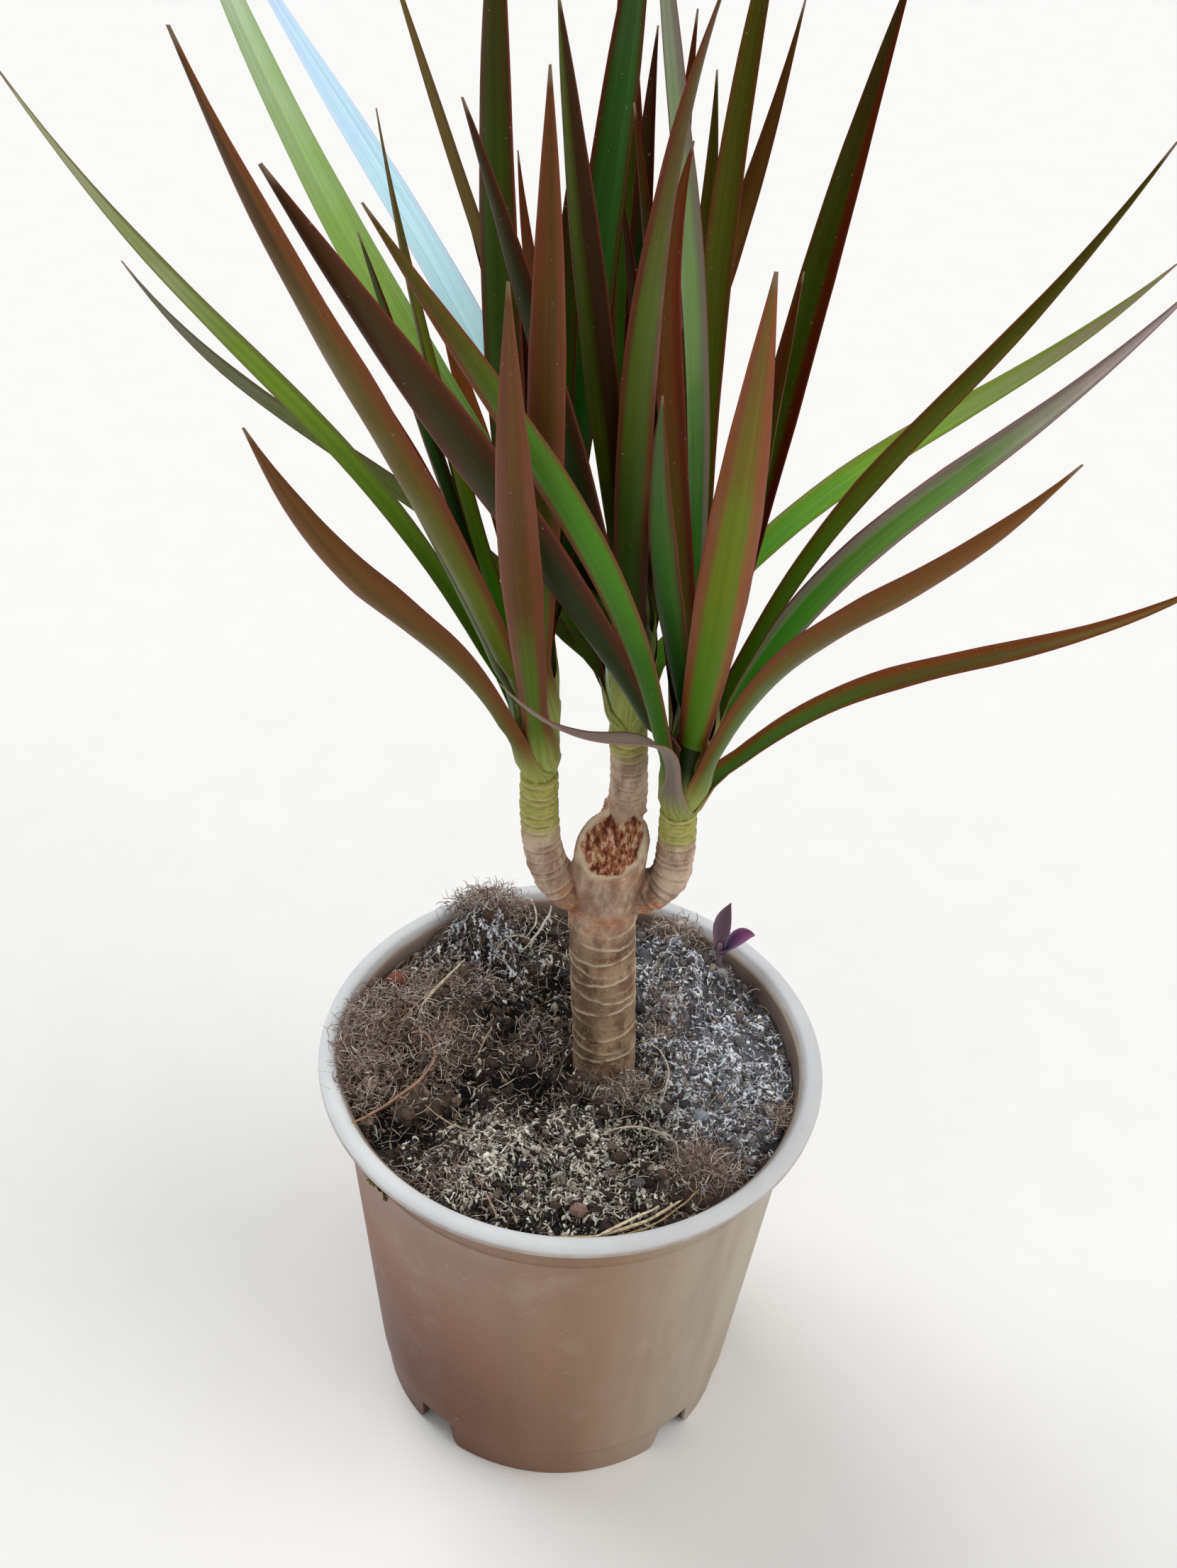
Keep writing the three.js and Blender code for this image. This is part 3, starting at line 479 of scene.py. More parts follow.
def lathe_points(profile, sides, x=0.0, y=0.0):
    """Rings about an upright axis, from a profile of (radius, height)."""
    angle = round_angles(sides)
    radius, height = np.array(profile, dtype=float).T[:, :, None]
    rings = [x + radius * np.cos(angle), y + radius * np.sin(angle), height + 0 * angle]
    return np.stack(rings, axis=-1).reshape(-1, 3)


def capped(points, rows, columns):
    """Adds a hub at both ends of a tube of rings: points, quads and triangles."""
    rings = points.reshape(rows, columns, 3)
    hubs = np.stack([rings[0].mean(axis=0), rings[-1].mean(axis=0)])
    here = np.arange(columns)
    follow = (here + 1) % columns
    base = (rows - 1) * columns
    low = np.stack([np.full(columns, rows * columns), follow, here], axis=1)
    high = np.stack([np.full(columns, rows * columns + 1), base + here, base + follow], axis=1)
    return np.concatenate([points, hubs]), grid_faces(rows, columns), np.concatenate([low, high])


def joined(parts):
    """Points and faces of several (points, quads, ends) as one mesh: all quads first, then the ends."""
    firsts = np.cumsum([0] + [len(part[0]) for part in parts])
    faces = [part[kind] + first for kind in (1, 2) for part, first in zip(parts, firsts)]
    return np.concatenate([part[0] for part in parts]), faces


def finish_piece(piece, slot, *nodes):
    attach(piece, "root")
    if nodes:
        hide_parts(*nodes)


# ---- material helpers -----------------------------------------------------------------------------------
class Value:
    """A node's output; arithmetic with it adds nodes."""

    def __init__(self, shader, socket):
        self.shader, self.socket = shader, socket

    def __add__(self, other):
        return self.shader.math("ADD", self, other)

    def __sub__(self, other):
        return self.shader.math("SUBTRACT", self, other)

    def __mul__(self, other):
        return self.shader.math("MULTIPLY", self, other)

    def __abs__(self):
        return self.shader.math("ABSOLUTE", self)

    def fade(self, low, high, start=0.0, end=1.0):
        """start where the value is low, end where it is high, smooth between."""
        return self.shader.node("ShaderNodeMapRange", 0, {"interpolation_type": "SMOOTHSTEP"}, Value=self,
                                From_Min=low, From_Max=high, To_Min=start, To_Max=end)


class Shader:
    """Builds one material, painted layer by layer; what goes in is a number, a tuple, #rrggbb or a Value."""

    def __init__(self, name, specular):
        self.material = bpy.data.materials.new(name)
        self.material.use_nodes = True
        self.tree = self.material.node_tree
        self.surface = self.tree.nodes["Principled BSDF"]
        self.surface.inputs["Specular IOR Level"].default_value = specular
        self.place = self.node("ShaderNodeTexCoord", "Object")
        self.base = None

    def node(self, kind, output=0, settings=(), **inputs):
        """Adds a node and gives one output; the inputs go by name, or by number as i0, i1 and so on."""
        made = self.tree.nodes.new(kind)
        for label, value in dict(settings).items():
            setattr(made, label, value)
        for label, value in inputs.items():
            self.put(made.inputs[int(label[1:]) if label[1:].isdigit() else label.replace("_", " ")], value)
        return Value(self, made.outputs[output])

    def put(self, socket, value):
        if isinstance(value, Value):
            self.tree.links.new(value.socket, socket)
        else:
            socket.default_value = colour(value) if isinstance(value, str) else value

    def math(self, operation, *values):
        inputs = {f"i{number}": value for number, value in enumerate(values)}
        return self.node("ShaderNodeMath", 0, {"operation": operation}, **inputs)

    def mix(self, share, first, second, blend="MIX"):
        settings = {"data_type": "RGBA", "blend_type": blend}
        return self.node("ShaderNodeMix", 2, settings, i0=share, i6=first, i7=second)

    def paint(self, share, layer, blend="MIX"):
        """Lays a colour over what is painted so far."""
        self.base = self.mix(share, self.base, layer, blend)

    def noise(self, scale, detail=3.0, roughness=0.55, vector=None):
        return self.node("ShaderNodeTexNoise", Vector=vector or self.place, Scale=scale, Detail=detail,
                         Roughness=roughness)

    def stretched(self, scale):
        return self.node("ShaderNodeMapping", Vector=self.place, Scale=scale)

    def attribute(self, label, output="Fac"):
        return self.node("ShaderNodeAttribute", output, {"attribute_name": label})

    def parts(self, vector):
        """x, y and z of a vector."""
        outputs = self.node("ShaderNodeSeparateXYZ", Vector=vector).socket.node.outputs
        return [Value(self, output) for output in outputs]

    def finished(self, grain, roughness, relief=None, distance=0.0, strength=1.0):
        """The painted material, with its roughness between two values by the grain, and its bump."""
        self.put(self.surface.inputs["Base Color"], self.base)
        self.put(self.surface.inputs["Roughness"], grain.fade(0.3, 0.7, *roughness))
        if relief:
            bump = self.node("ShaderNodeBump", Height=relief, Distance=distance, Strength=strength)
            self.put(self.surface.inputs["Normal"], bump)
        return self.material


# ---- materials, in metres -------------------------------------------------------------------------------
def leaf_material():
    shader = Shader("leaf", 0.1)
    across, along, seed = shader.parts(shader.attribute("blade", "Vector"))
    low, mid, high, flank = (shader.attribute(label, "Color") for label in LEAF_COLOURS)
    reach, lean, under = (shader.attribute(label) for label in ("reach", "lean", "under"))
    shift = seed * 37.0
    veins = shader.node("ShaderNodeCombineXYZ", X=across * 7.0 + shift, Y=along * 1.3, Z=shift)
    fine = shader.noise(1.5, 4.0, 0.6, veins)
    broad = shader.noise(0.3, 2.0, 0.5, veins)
    cloud = shader.noise(26.0, 3.0, 0.6)
    # from root to tip, then the flanks, which reach further in towards the tip
    wave = (cloud - 0.5) * 0.45 + along
    shader.base = shader.mix(wave.fade(0.12, 0.5), low, mid)
    shader.paint(wave.fade(0.5, 0.95), high)
    side = abs(across + (lean + (broad - 0.5) * 0.5))
    drift = wave.fade(0.2, 1.0) * (reach * 0.4) + ((fine - 0.5) * 0.7 + side) + reach
    shader.paint(drift.fade(0.85, 1.35), flank)
    # stripes along the veins
    shader.paint(1.0, fine.fade(0.3, 0.7, 0.91, 1.09) * broad.fade(0.3, 0.7, 0.88, 1.12), "MULTIPLY")
    # red edges, the pale green foot, the dry tip, specks and a duller underside
    shader.paint(abs(across).fade(0.86, 1.0, 0.0, 0.7) * reach.fade(0.2, 0.4), "#83352c")
    shader.paint(along.fade(0.07, -0.03), shader.mix(fine.fade(0.3, 0.7), "#7f8c36", "#a9ab62"))
    shader.paint((cloud * 0.03 + along).fade(0.985, 1.01), "#8a7360")
    shader.paint(shader.noise(900.0, 1.0).fade(0.75, 0.8, 0.0, 0.3), "#c9c3ae")
    shader.paint(under * 0.08, "#6f7a50")
    return shader.finished(cloud, (0.4, 0.55), fine, 0.0002, 0.6)


def pot_material():
    shader = Shader("pot_plastic", 0.16)
    neck, foot, top, mouth = (size * MM for size in (NECK_HEIGHT, POT["foot_height"], POT["height"],
                                                     POT["neck_radius"]))
    x, y, z = shader.parts(shader.place)
    radius = shader.math("SQRT", x * x + y * y)
    taper = (POT["neck_radius"] - POT["base_radius"]) / NECK_HEIGHT
    outward = radius - (z * taper + POT["base_radius"] * MM)
    streak = shader.noise(60.0, 4.0, 0.6, shader.stretched((1, 1, 0.09)))
    cloud = shader.noise(11.0, 4.0, 0.6)
    fine = shader.noise(420.0, 3.0, 0.6)
    # painted light and shade: browner and darker at the left, where the wall lies in shade, paler to the
    # right and, at the left, towards the top, where light falls on it
    across = cloud * 0.02 + x
    shader.base = shader.mix(across.fade(-0.06, 0.01), "#84543e", "#95755e")
    shader.paint(across.fade(0.012, 0.072), "#b0a594")
    shader.paint(z.fade(0.07, 0.14, 0.0, 0.7) * x.fade(0.03, -0.05), "#a18c80")
    shader.paint(streak.fade(0.4, 0.68, 0.0, 0.35), "#836a58")
    shader.paint(shader.noise(34.0, 5.0, 0.65).fade(0.54, 0.72, 0.0, 0.22), "#b9a898")
    # the rim: its edge, and its lip painted paler and cool as a painted reflection of the sky on its top;
    # then the bare inside above the soil
    edge = shader.mix(streak.fade(0.4, 0.6), "#a89d95", "#bdb6b0")
    lip_reflection = shader.mix(cloud.fade(0.4, 0.6), "#cfd0d2", "#dcdedf")
    rim = shader.mix(z.fade(top - 0.0032, top - 0.0016), edge, lip_reflection)
    shader.paint(z.fade(neck - 0.0004, neck + 0.0002) * radius.fade(mouth - 0.00045, mouth + 0.00015), rim)
    # painted shade: the bare inside above the soil is painted darker and greyer than the outside of the wall
    inside = shader.mix(cloud.fade(0.4, 0.6), "#6e6058", "#857970")
    shader.paint(outward.fade(-0.0006, -0.0011) * z.fade(0.1, 0.12), inside)
    # painted shade: dark brown low on the wall, most at the left, where the wall lies in shade; a line of
    # painted shade under the foot's step; and the shade inside the notches
    low_left_shade = (cloud * 0.06 + z).fade(0.13, 0.055, 0.0, 0.6) * x.fade(0.03, -0.045, 0.12, 1.3)
    shader.paint(low_left_shade, "#582f1e")
    step = z.fade(foot + 0.0012, foot + 0.0001) * z.fade(foot - 0.0012, foot - 0.0001)
    shader.paint(step * 0.45, "#6a5747")
    shader.paint(outward.fade(-0.0016, -0.0024) * z.fade(foot + 0.0015, foot + 0.0005), "#4a3a24")
    # dust and dirt
    shader.paint(fine.fade(0.66, 0.74, 0.0, 0.22), "#d3c8bd")
    shader.paint(shader.noise(95.0, 4.0, 0.7).fade(0.69, 0.74, 0.0, 0.45), "#6b5648")
    return shader.finished(cloud, (0.36, 0.52), fine * 0.3 + streak, 0.00025, 0.35)


def soil_material():
    shader = Shader("peat", 0.2)
    crust, brown, hollow = (shader.attribute(label) for label in ("crust", "brown", "hollow"))
    coarse = shader.noise(260.0, 4.0, 0.7)
    fine = shader.noise(1300.0, 3.0, 0.7)
    shader.base = shader.mix(coarse.fade(0.35, 0.65), "#201a19", "#4d423d")
    shader.paint(crust * 0.6, "#191617")
    shader.paint(brown * 0.7, "#806a5b")
    # painted shade: near black where the soil lies deep in its hollows and pits
    shader.paint(hollow, "#0f0c0b")
    # grey dust towards the right, and pale flecks where the crust is
    x, y, _ = shader.parts(shader.place)
    right = (y * SIDE_LEAN + x).fade(0.018, 0.045)
    shader.paint(right * crust * coarse.fade(0.3, 0.6, 0.2, 0.85), "#8c8f97")
    shader.paint(fine.fade(0.54, 0.64, 0.0, 0.8) * crust, "#a6a29c")
    return shader.finished(fine, (0.85, 1.0), fine * 0.5 + coarse, 0.0012, 0.9)


def tinted_material(name, roughness, scale, depth, variation=0.35):
    """For lumps and fibres: each has its own tint, mottled."""
    shader = Shader(name, 0.25)
    grain = shader.noise(scale, 3.0, 0.65)
    shader.base = shader.attribute("tint", "Color")
    shader.paint(1.0, grain.fade(0.3, 0.7, 1 - variation, 1 + variation), "MULTIPLY")
    return shader.finished(grain, roughness, grain, depth, 0.8)


def bark_material():
    shader = Shader("bark", 0.25)
    green, joint, pith = shader.parts(shader.attribute("zones", "Vector"))
    pale, dark, tan = (shader.attribute(label) for label in ("pale", "dark", "tan"))
    mottle = shader.noise(130.0, 5.0, 0.68, shader.stretched((1, 1, 0.45)))
    grain = shader.noise(420.0, 4.0, 0.65, shader.stretched((1, 1, 2.6)))
    shreds = shader.noise(620.0, 5.0, 0.7, shader.stretched((1, 0.4, 0.5)))
    # the cane's bark, with painted shade that darkens its left side, red-brown blotches and pale specks
    shader.base = shader.mix(mottle.fade(0.38, 0.62), "#67503f", "#a98e73")
    shader.paint(shader.noise(48.0, 4.0, 0.62).fade(0.48, 0.66, 0.0, 0.7), "#86705a")
    # painted shade on the cane's left side
    left = shader.parts(shader.place)[0].fade(0.011, -0.002, 0.0, 0.45)
    shader.paint(left * tan.fade(0.6, 0.4), "#5b4534")
    shader.paint(shader.noise(85.0).fade(0.55, 0.7, 0.0, 0.55), "#6a3f30")
    shader.paint(shader.noise(900.0, 2.0, 0.6).fade(0.6, 0.7, 0.0, 0.5), "#c9b48f")
    # the branches, their joints, their green ends, the pith, and the pale and dark lines
    shader.paint(tan, shader.mix(mottle.fade(0.36, 0.64), "#917562", "#cdb5a0"))
    sore = shader.mix(grain.fade(0.4, 0.62), "#94502f", "#c98a64")
    shader.paint(joint * mottle.fade(0.32, 0.6, 0.35, 1.0), sore)
    shader.paint(green, shader.mix(grain.fade(0.35, 0.65), "#929246", "#b4ae60"))
    core = shader.mix(shreds.fade(0.42, 0.5), "#5f2d20", "#a9694a")
    shader.paint(pith, shader.mix(shreds.fade(0.52, 0.6), core, "#d9b89a"))
    shader.paint(pale * 0.8, "#dccbb0")
    shader.paint(dark * 0.85, "#46281d")
    return shader.finished(grain, (0.6, 0.85), mottle * 0.8 + grain, 0.0007, 0.7)


def seedling_material():
    shader = Shader("purple_leaf", 0.5)
    across, along, seed = shader.parts(shader.attribute("blade", "Vector"))
    cloud = shader.noise(160.0)
    shader.base = shader.mix((along + cloud).fade(0.6, 1.3), "#62548a", "#9a5583")
    shader.paint(seed.fade(0.2, 0.8), "#86707c")
    shader.paint(abs(across).fade(0.6, 1.0, 0.0, 0.6), "#b58aa6")
    return shader.finished(cloud, (0.35, 0.5), cloud, 0.0003, 0.5)


# ---- pot ------------------------------------------------------------------------------------------------
def outer_radius(height):
    return POT["base_radius"] + (POT["neck_radius"] - POT["base_radius"]) * height / NECK_HEIGHT


def inner_radius(height):
    return outer_radius(height) - POT["wall"]


def pot_profile():
    """Radius and height, round the foot, up the wall, over the rim and down inside."""
    foot, foot_top, neck = POT["foot_radius"], POT["foot_height"], NECK_HEIGHT
    rim, mouth, top = POT["rim_radius"], POT["mouth_radius"], POT["height"]
    foot_inner = foot - POT["foot_width"]
    foot_out = outer_radius(foot_top) - POT["foot_inset"]
    bead, half = POT["bead_height"], POT["bead_half_height"]
    profile = [
        (foot_inner, POT["floor_underside"]), (foot_inner, 0.6), (foot_inner + 0.5, 0), (foot - 0.8, 0),
        (foot - 0.25, 0.2), (foot, 0.8), (foot_out - 0.1, foot_top - 1.1), (foot_out + 0.05, foot_top - 0.5),
        (outer_radius(foot_top) - 0.12, foot_top), (outer_radius(foot_top), foot_top + 0.4),
    ]
    profile += [(outer_radius(height), height) for height in np.arange(22, bead - 2, 7)]
    for share in np.linspace(0, 1, 7):
        height = bead + (2 * share - 1) * half
        profile.append((outer_radius(height) + POT["bead_radius"] * math.sin(math.pi * share) ** 2, height))
    profile += [
        (outer_radius(bead + 7), bead + 7), (outer_radius(neck - 1.2), neck - 1.2),
        (POT["neck_radius"] + 0.3, neck - 0.2), (POT["neck_radius"] + 1.1, neck), (rim - 1.3, neck),
        (rim - 0.5, neck + 0.25), (rim - 0.1, neck + 0.8), (rim, neck + 1.5), (rim - 0.05, top - 2.6),
        (rim - 0.35, top - 1.7), (rim - 1.0, top - 0.9), (rim - 2.0, top - 0.35), (rim - 3.3, top - 0.05),
        (rim - 4.3, top - 0.1), (mouth + 1.0, top - 0.35), (mouth + 0.4, top - 0.7), (mouth, top - 1.4),
        (mouth - 0.5, top - 2.6), (inner_radius(neck) + 0.7, neck + 0.9),
        (inner_radius(neck - 1.5), neck - 1.5),
    ]
    profile += [(inner_radius(height), height) for height in np.arange(neck - 12, 16, -9)]
    floor = POT["floor_top"]
    return profile + [(inner_radius(floor + 2.5), floor + 2.5), (inner_radius(floor + 1) - 1, floor + 0.6),
                      (inner_radius(floor) - 3, floor)]


def cutter(name, points, faces):
    mesh = bpy.data.meshes.new(name)
    mesh.from_pydata([tuple(point * MM) for point in points], [], [tuple(face) for face in faces])
    mesh.update()
    return add_object(name, mesh)


def notch_cutter(azimuth):
    start, end = POT["notch_inner_radius"], POT["rim_radius"]
    outline = POT["notch_outline"] + [(-half, height) for half, height in reversed(POT["notch_outline"])]
    turn = Matrix.Rotation(math.radians(azimuth), 3, "Z")
    box = [Vector((out, side, height)) for out in (start, end) for side, height in outline]
    count = len(outline)
    faces = [tuple(range(count))[::-1], tuple(range(count, 2 * count))]
    faces += [(k, (k + 1) % count, (k + 1) % count + count, k + count) for k in range(count)]
    return cutter("notch_tool", [np.array(turn @ corner) for corner in box], faces)


def drain_cutter(angle):
    sides, radius, out = POT["drain_sides"], POT["drain_radius"], POT["drain_circle_radius"]
    rows = [(radius, POT["floor_underside"] - 1), (radius, POT["floor_top"] + 1)]
    points = lathe_points(rows, sides, out * math.cos(angle), out * math.sin(angle))
    hole, quads, caps = capped(points, 2, sides)
    return cutter("drain_tool", hole, [*quads.tolist(), *caps.tolist()])


def build_pot(material):
    profile = pot_profile()
    points, *faces = capped(lathe_points(profile, POT["sides"]), len(profile), POT["sides"])
    piece = make_mesh("pot_shell", points, faces, material)
    cutters = [notch_cutter(azimuth) for azimuth in POT["notch_azimuths"]]
    cutters += [drain_cutter(angle) for angle in round_angles(POT["drains"])]
    for tool in cutters:
        cut = piece.modifiers.new("cut", "BOOLEAN")
        cut.operation, cut.solver, cut.object = "DIFFERENCE", "EXACT", tool
    apply_modifiers(piece)
    for tool in cutters:
        bpy.data.objects.remove(tool)
    piece.data.set_sharp_from_angle(angle=math.radians(POT["sharp_angle"]))
    finish_piece(piece, "pot", "pot")


# ---- soil -----------------------------------------------------------------------------------------------
def swells(x, y, rows, base=0.0):
    """base plus each row (x, y, strength, radius), fading with the distance from its middle."""
    return sum((rise * np.exp(-((x - middle_x) ** 2 + (y - middle_y) ** 2) / radius ** 2)
                for middle_x, middle_y, rise, radius in rows), base)


def soil_height(x, y):
    edge = inner_radius(SOIL["level"]) - np.hypot(x, y)
    height = SOIL["level"] - SOIL["edge_drop"] * np.maximum(0, 1 - edge / SOIL["edge_width"])
    first, second = (np.sin(x * turn_x + y * turn_y) for turn_x, turn_y in SOIL["waves"])
    return swells(x, y, SOIL["swells"], height) + SOIL["crumb"] * first * second


def rough_height(x, y):
    """The soil's surface with its clods, grain and pits."""
    points = np.stack([x, y, np.zeros_like(x)], axis=-1)
    size, rise, seed = SOIL["clods"]
    small_size, small_share, small_seed = SOIL["small_clods"]
    grain_size, grain_rise, grain_seed = SOIL["grain"]
    clods = layered_noise(points, size, seed, 2)
    clods = clods + small_share * layered_noise(points, small_size, small_seed, 2)
    rough = rise * np.where(clods > 0, clods, SOIL["dip"] * clods)
    rough = rough + grain_rise * np.abs(layered_noise(points, grain_size, grain_seed))
    rough = swells(x, y, SOIL["pits"], rough) - SOIL["sink"]
    ease = smooth(*SOIL["calm_radii"], np.hypot(x, y))
    return soil_height(x, y) + rough * (SOIL["calm"] + (1 - SOIL["calm"]) * ease)


def hollow_share(x, y):
    """How deep the soil lies, from 0 to 1; the soil is painted darker by it as shade in the hollows."""
    return smooth(*SOIL["shade_depths"], soil_height(x, y) - rough_height(x, y))


def crust_share(x, y):
    """How thick the pale mineral crust lies, up to 1."""
    return np.clip(swells(x, y, CRUST_PATCHES), LEAST_CRUST, 1)


def brown_share(x, y):
    return np.clip(swells(x, y, BROWN_PATCHES), 0, 1)


def build_soil_bed(material):
    rows, sides = SOIL["rows"], SOIL["sides"]
    radii = (inner_radius(SOIL["level"]) - SOIL["gap"]) * np.linspace(1, 0.004, rows)
    angle = round_angles(sides)
    x, y = radii[:, None] * np.cos(angle), radii[:, None] * np.sin(angle)
    top = np.stack([x, y, rough_height(x, y)], axis=-1).reshape(-1, 3)
    skirt = [(inner_radius(height) - SOIL["gap"], height) for height in SOIL["skirt_heights"]]
    points = np.concatenate([lathe_points(skirt, sides), top])
    points, *faces = capped(points, rows + len(skirt), sides)
    x, y, z = points.T
    on_top = z > SOIL["level"] - SOIL["edge_width"]
    fields = {"crust": crust_share(x, y), "brown": brown_share(x, y), "hollow": hollow_share(x, y) * on_top}
    finish_piece(make_mesh("soil_bed", points, faces, material, fields), "soil", "soil")


def soil_piece(name, points, faces, tints, material):
    """A piece of lumps or fibres, with a tint at each point."""
    finish_piece(make_mesh(name, points, faces, material, {"tint": tints}), "soil")


def random_turns(count, draw):
    """Random rotation matrices."""
    w, x, y, z = unit(draw.normal(size=(count, 4))).T
    return np.stack([
        np.stack([1 - 2 * (y * y + z * z), 2 * (x * y - z * w), 2 * (x * z + y * w)], axis=1),
        np.stack([2 * (x * y + z * w), 1 - 2 * (x * x + z * z), 2 * (y * z - x * w)], axis=1),
        np.stack([2 * (x * z - y * w), 2 * (y * z + x * w), 1 - 2 * (x * x + y * y)], axis=1),
    ], axis=1)


def lumps(centres, sizes, tints, draw):
    """Irregular lumps: points, faces and tints."""
    count, corners = len(centres), len(ICO)
    uneven = draw.uniform(0.65, 1.3, size=(count, corners, 1))
    points = np.einsum("nij,nkj->nki", random_turns(count, draw), ICO * uneven * sizes[:, None, :])
    points = points + centres[:, None, :]
    faces = ICO_FACES + (np.arange(count) * corners)[:, None, None]
    return points.reshape(-1, 3), [faces.reshape(-1, 3)], np.repeat(tints, corners, axis=0)


def lump_sizes(table, draw):
    """A size for each lump, between the table's limits."""
    return np.clip(draw.lognormal(*table["size"], size=table["count"]), *table["limits"])


def scatter(count, share, draw, limit=75.0, near=0.0):
    """Places on the soil, kept in proportion to share(x, y), off the cane."""
    kept = np.empty((0, 2))
    while len(kept) < count:
        spots = draw.uniform(-limit, limit, size=(count * 3, 2))
        x, y = spots.T
        inside = np.hypot(x, y) < limit
        clear = np.hypot(x - CANE["x"], y - CANE["y"]) > CANE["radius"] + near
        wanted = draw.uniform(size=len(spots)) < share(x, y)
        kept = np.concatenate([kept, spots[inside & clear & wanted]])
    return kept[:count]


def tinted(draw, count, palette, spread=0.12):
    """A colour for each of count things, drawn by the palette's shares and made lighter or darker."""
    shares = np.array(list(palette.values()))
    choice = draw.choice(len(palette), size=count, p=shares / sum(palette.values()))
    tints = np.array([colour(text) for text in palette])[choice]
    tints[:, :3] *= draw.uniform(1 - spread, 1 + spread, size=(count, 1))
    return tints


def build_crumbs(material):
    draw = np.random.default_rng(101)
    count = CRUMBS["count"]
    x, y = scatter(count, lambda x, y: 1 - 0.5 * hollow_share(x, y), draw).T
    size = lump_sizes(CRUMBS, draw)
    sizes = size[:, None] * draw.uniform(*CRUMBS["stretch"], size=(count, 3))
    centres = np.column_stack([x, y, rough_height(x, y) + size * draw.uniform(*CRUMBS["rise"], size=count)])
    tints = tinted(draw, count, CRUMBS["palette"])
    grey = smooth(*CRUMBS["grey_from"], x + SIDE_LEAN * y)
    tints[:, :3] *= 1 - (0.45 * crust_share(x, y) * (1 - grey))[:, None]
    grey = (0.6 * grey * draw.uniform(0, 1, count))[:, None]
    tints = tints + (np.array(colour(CRUMBS["grey"])) - tints) * grey
    brown = brown_share(x, y)[:, None] * draw.uniform(0.1, 0.9, size=(count, 1))
    tints = tints * (1 - brown) + np.array(colour(CRUMBS["brown"])) * brown
    soil_piece("soil_crumbs", *lumps(centres, sizes, tints, draw), material)


def tubes(paths, radii, tints, sides=3):
    """Thin closed tubes along paths (count, steps, 3) with radii (count, steps): points, faces and tints."""
    count, steps, _ = paths.shape
    tangents = unit(np.gradient(paths, axis=1))
    across = unit(np.cross(tangents, np.where(np.abs(tangents[..., 2:3]) < 0.9, UP, RIGHT)))
    along = np.cross(tangents, across)
    angle = round_angles(sides)[:, None]
    spokes = np.cos(angle) * across[:, :, None] + np.sin(angle) * along[:, :, None]
    rings = paths[:, :, None] + radii[:, :, None, None] * spokes
    first = (np.arange(count) * steps * sides)[:, None, None]
    ends = np.array([tuple(range(sides))[::-1], tuple(range((steps - 1) * sides, steps * sides))])
    faces = [(grid_faces(steps, sides) + first).reshape(-1, 4), (ends + first).reshape(-1, sides)]
    return rings.reshape(-1, 3), faces, np.repeat(tints, steps * sides, axis=0)


def crust_tints(x, y, draw):
    """Cream at the front, cool white towards the right."""
    warm, cool = (tinted(draw, len(x), CRUST[label]) for label in ("warm", "cool"))
    chill = np.maximum(smooth(*CRUST["cool_from"], x + SIDE_LEAN * y), swells(x, y, COOL_PATCHES))[:, None]
    return warm * (1 - chill) + cool * chill


def build_crust(material):
    """The pale mineral crust: short crooked runs that cross into patches, and loose flakes."""
    draw = np.random.default_rng(202)
    runs, steps = CRUST["count"], CRUST["steps"]
    spots = scatter(runs, lambda x, y: crust_share(x, y) * (1 - 0.7 * hollow_share(x, y)), draw, limit=73.5)
    heading = draw.uniform(0, 2 * math.pi, size=(runs, 1))
    heading = heading + np.cumsum(draw.normal(0, CRUST["turn"], (runs, steps)), axis=1)
    pitch = draw.uniform(*CRUST["pitch"], size=(runs, 1))
    x = spots[:, 0, None] + np.cumsum(pitch * np.cos(heading), axis=1)
    y = spots[:, 1, None] + np.cumsum(pitch * np.sin(heading), axis=1)
    inward = np.maximum(1.0, np.hypot(x, y) / CRUST["reach"])
    x, y = x / inward, y / inward
    z = rough_height(x, y) + draw.uniform(*CRUST["lift"], size=(runs, 1))
    z = z + draw.normal(0, CRUST["waver"], x.shape)
    girth = lump_sizes(CRUST, draw)[:, None] * draw.uniform(*CRUST["uneven"], size=x.shape)
    girth[:, [0, -1]] *= 0.5
    tints = crust_tints(*spots.T, draw)
    soil_piece("soil_crust", *tubes(np.stack([x, y, z], axis=-1), girth, tints, CRUST["sides"]), material)

    flakes = FLAKES["count"]
    x, y = scatter(flakes, crust_share, draw, limit=74).T
    sizes = lump_sizes(FLAKES, draw)[:, None] * draw.uniform(*FLAKES["stretch"], size=(flakes, 3))
    centres = np.column_stack([x, y, rough_height(x, y) + draw.uniform(*FLAKES["lift"], size=flakes)])
    soil_piece("soil_flakes", *lumps(centres, sizes, crust_tints(x, y, draw), draw), material)


def wandering(starts, headings, lengths, curl, reach, draw):
    """Curly paths from starts, above the soil and, below the rim, inside the pot."""
    count = len(starts)
    points = np.empty((count, FIBRE_STEPS, 3))
    points[:, 0] = starts
    direction = unit(headings)
    turn = draw.normal(0, curl, size=(count, 3))
    for step in range(1, FIBRE_STEPS):
        direction = unit(direction + np.cross(turn, direction) + draw.normal(0, curl * 0.35, size=(count, 3)))
        points[:, step] = points[:, step - 1] + direction * (lengths / (FIBRE_STEPS - 1))[:, None]
    points[..., 2] = np.maximum(points[..., 2], rough_height(points[..., 0], points[..., 1]) + 0.3)
    inward = np.maximum(1.0, np.hypot(points[..., 0], points[..., 1]) / reach)
    points[..., :2] /= np.where(points[..., 2] < POT["height"] + 0.4, inward, 1.0)[..., None]
    return points


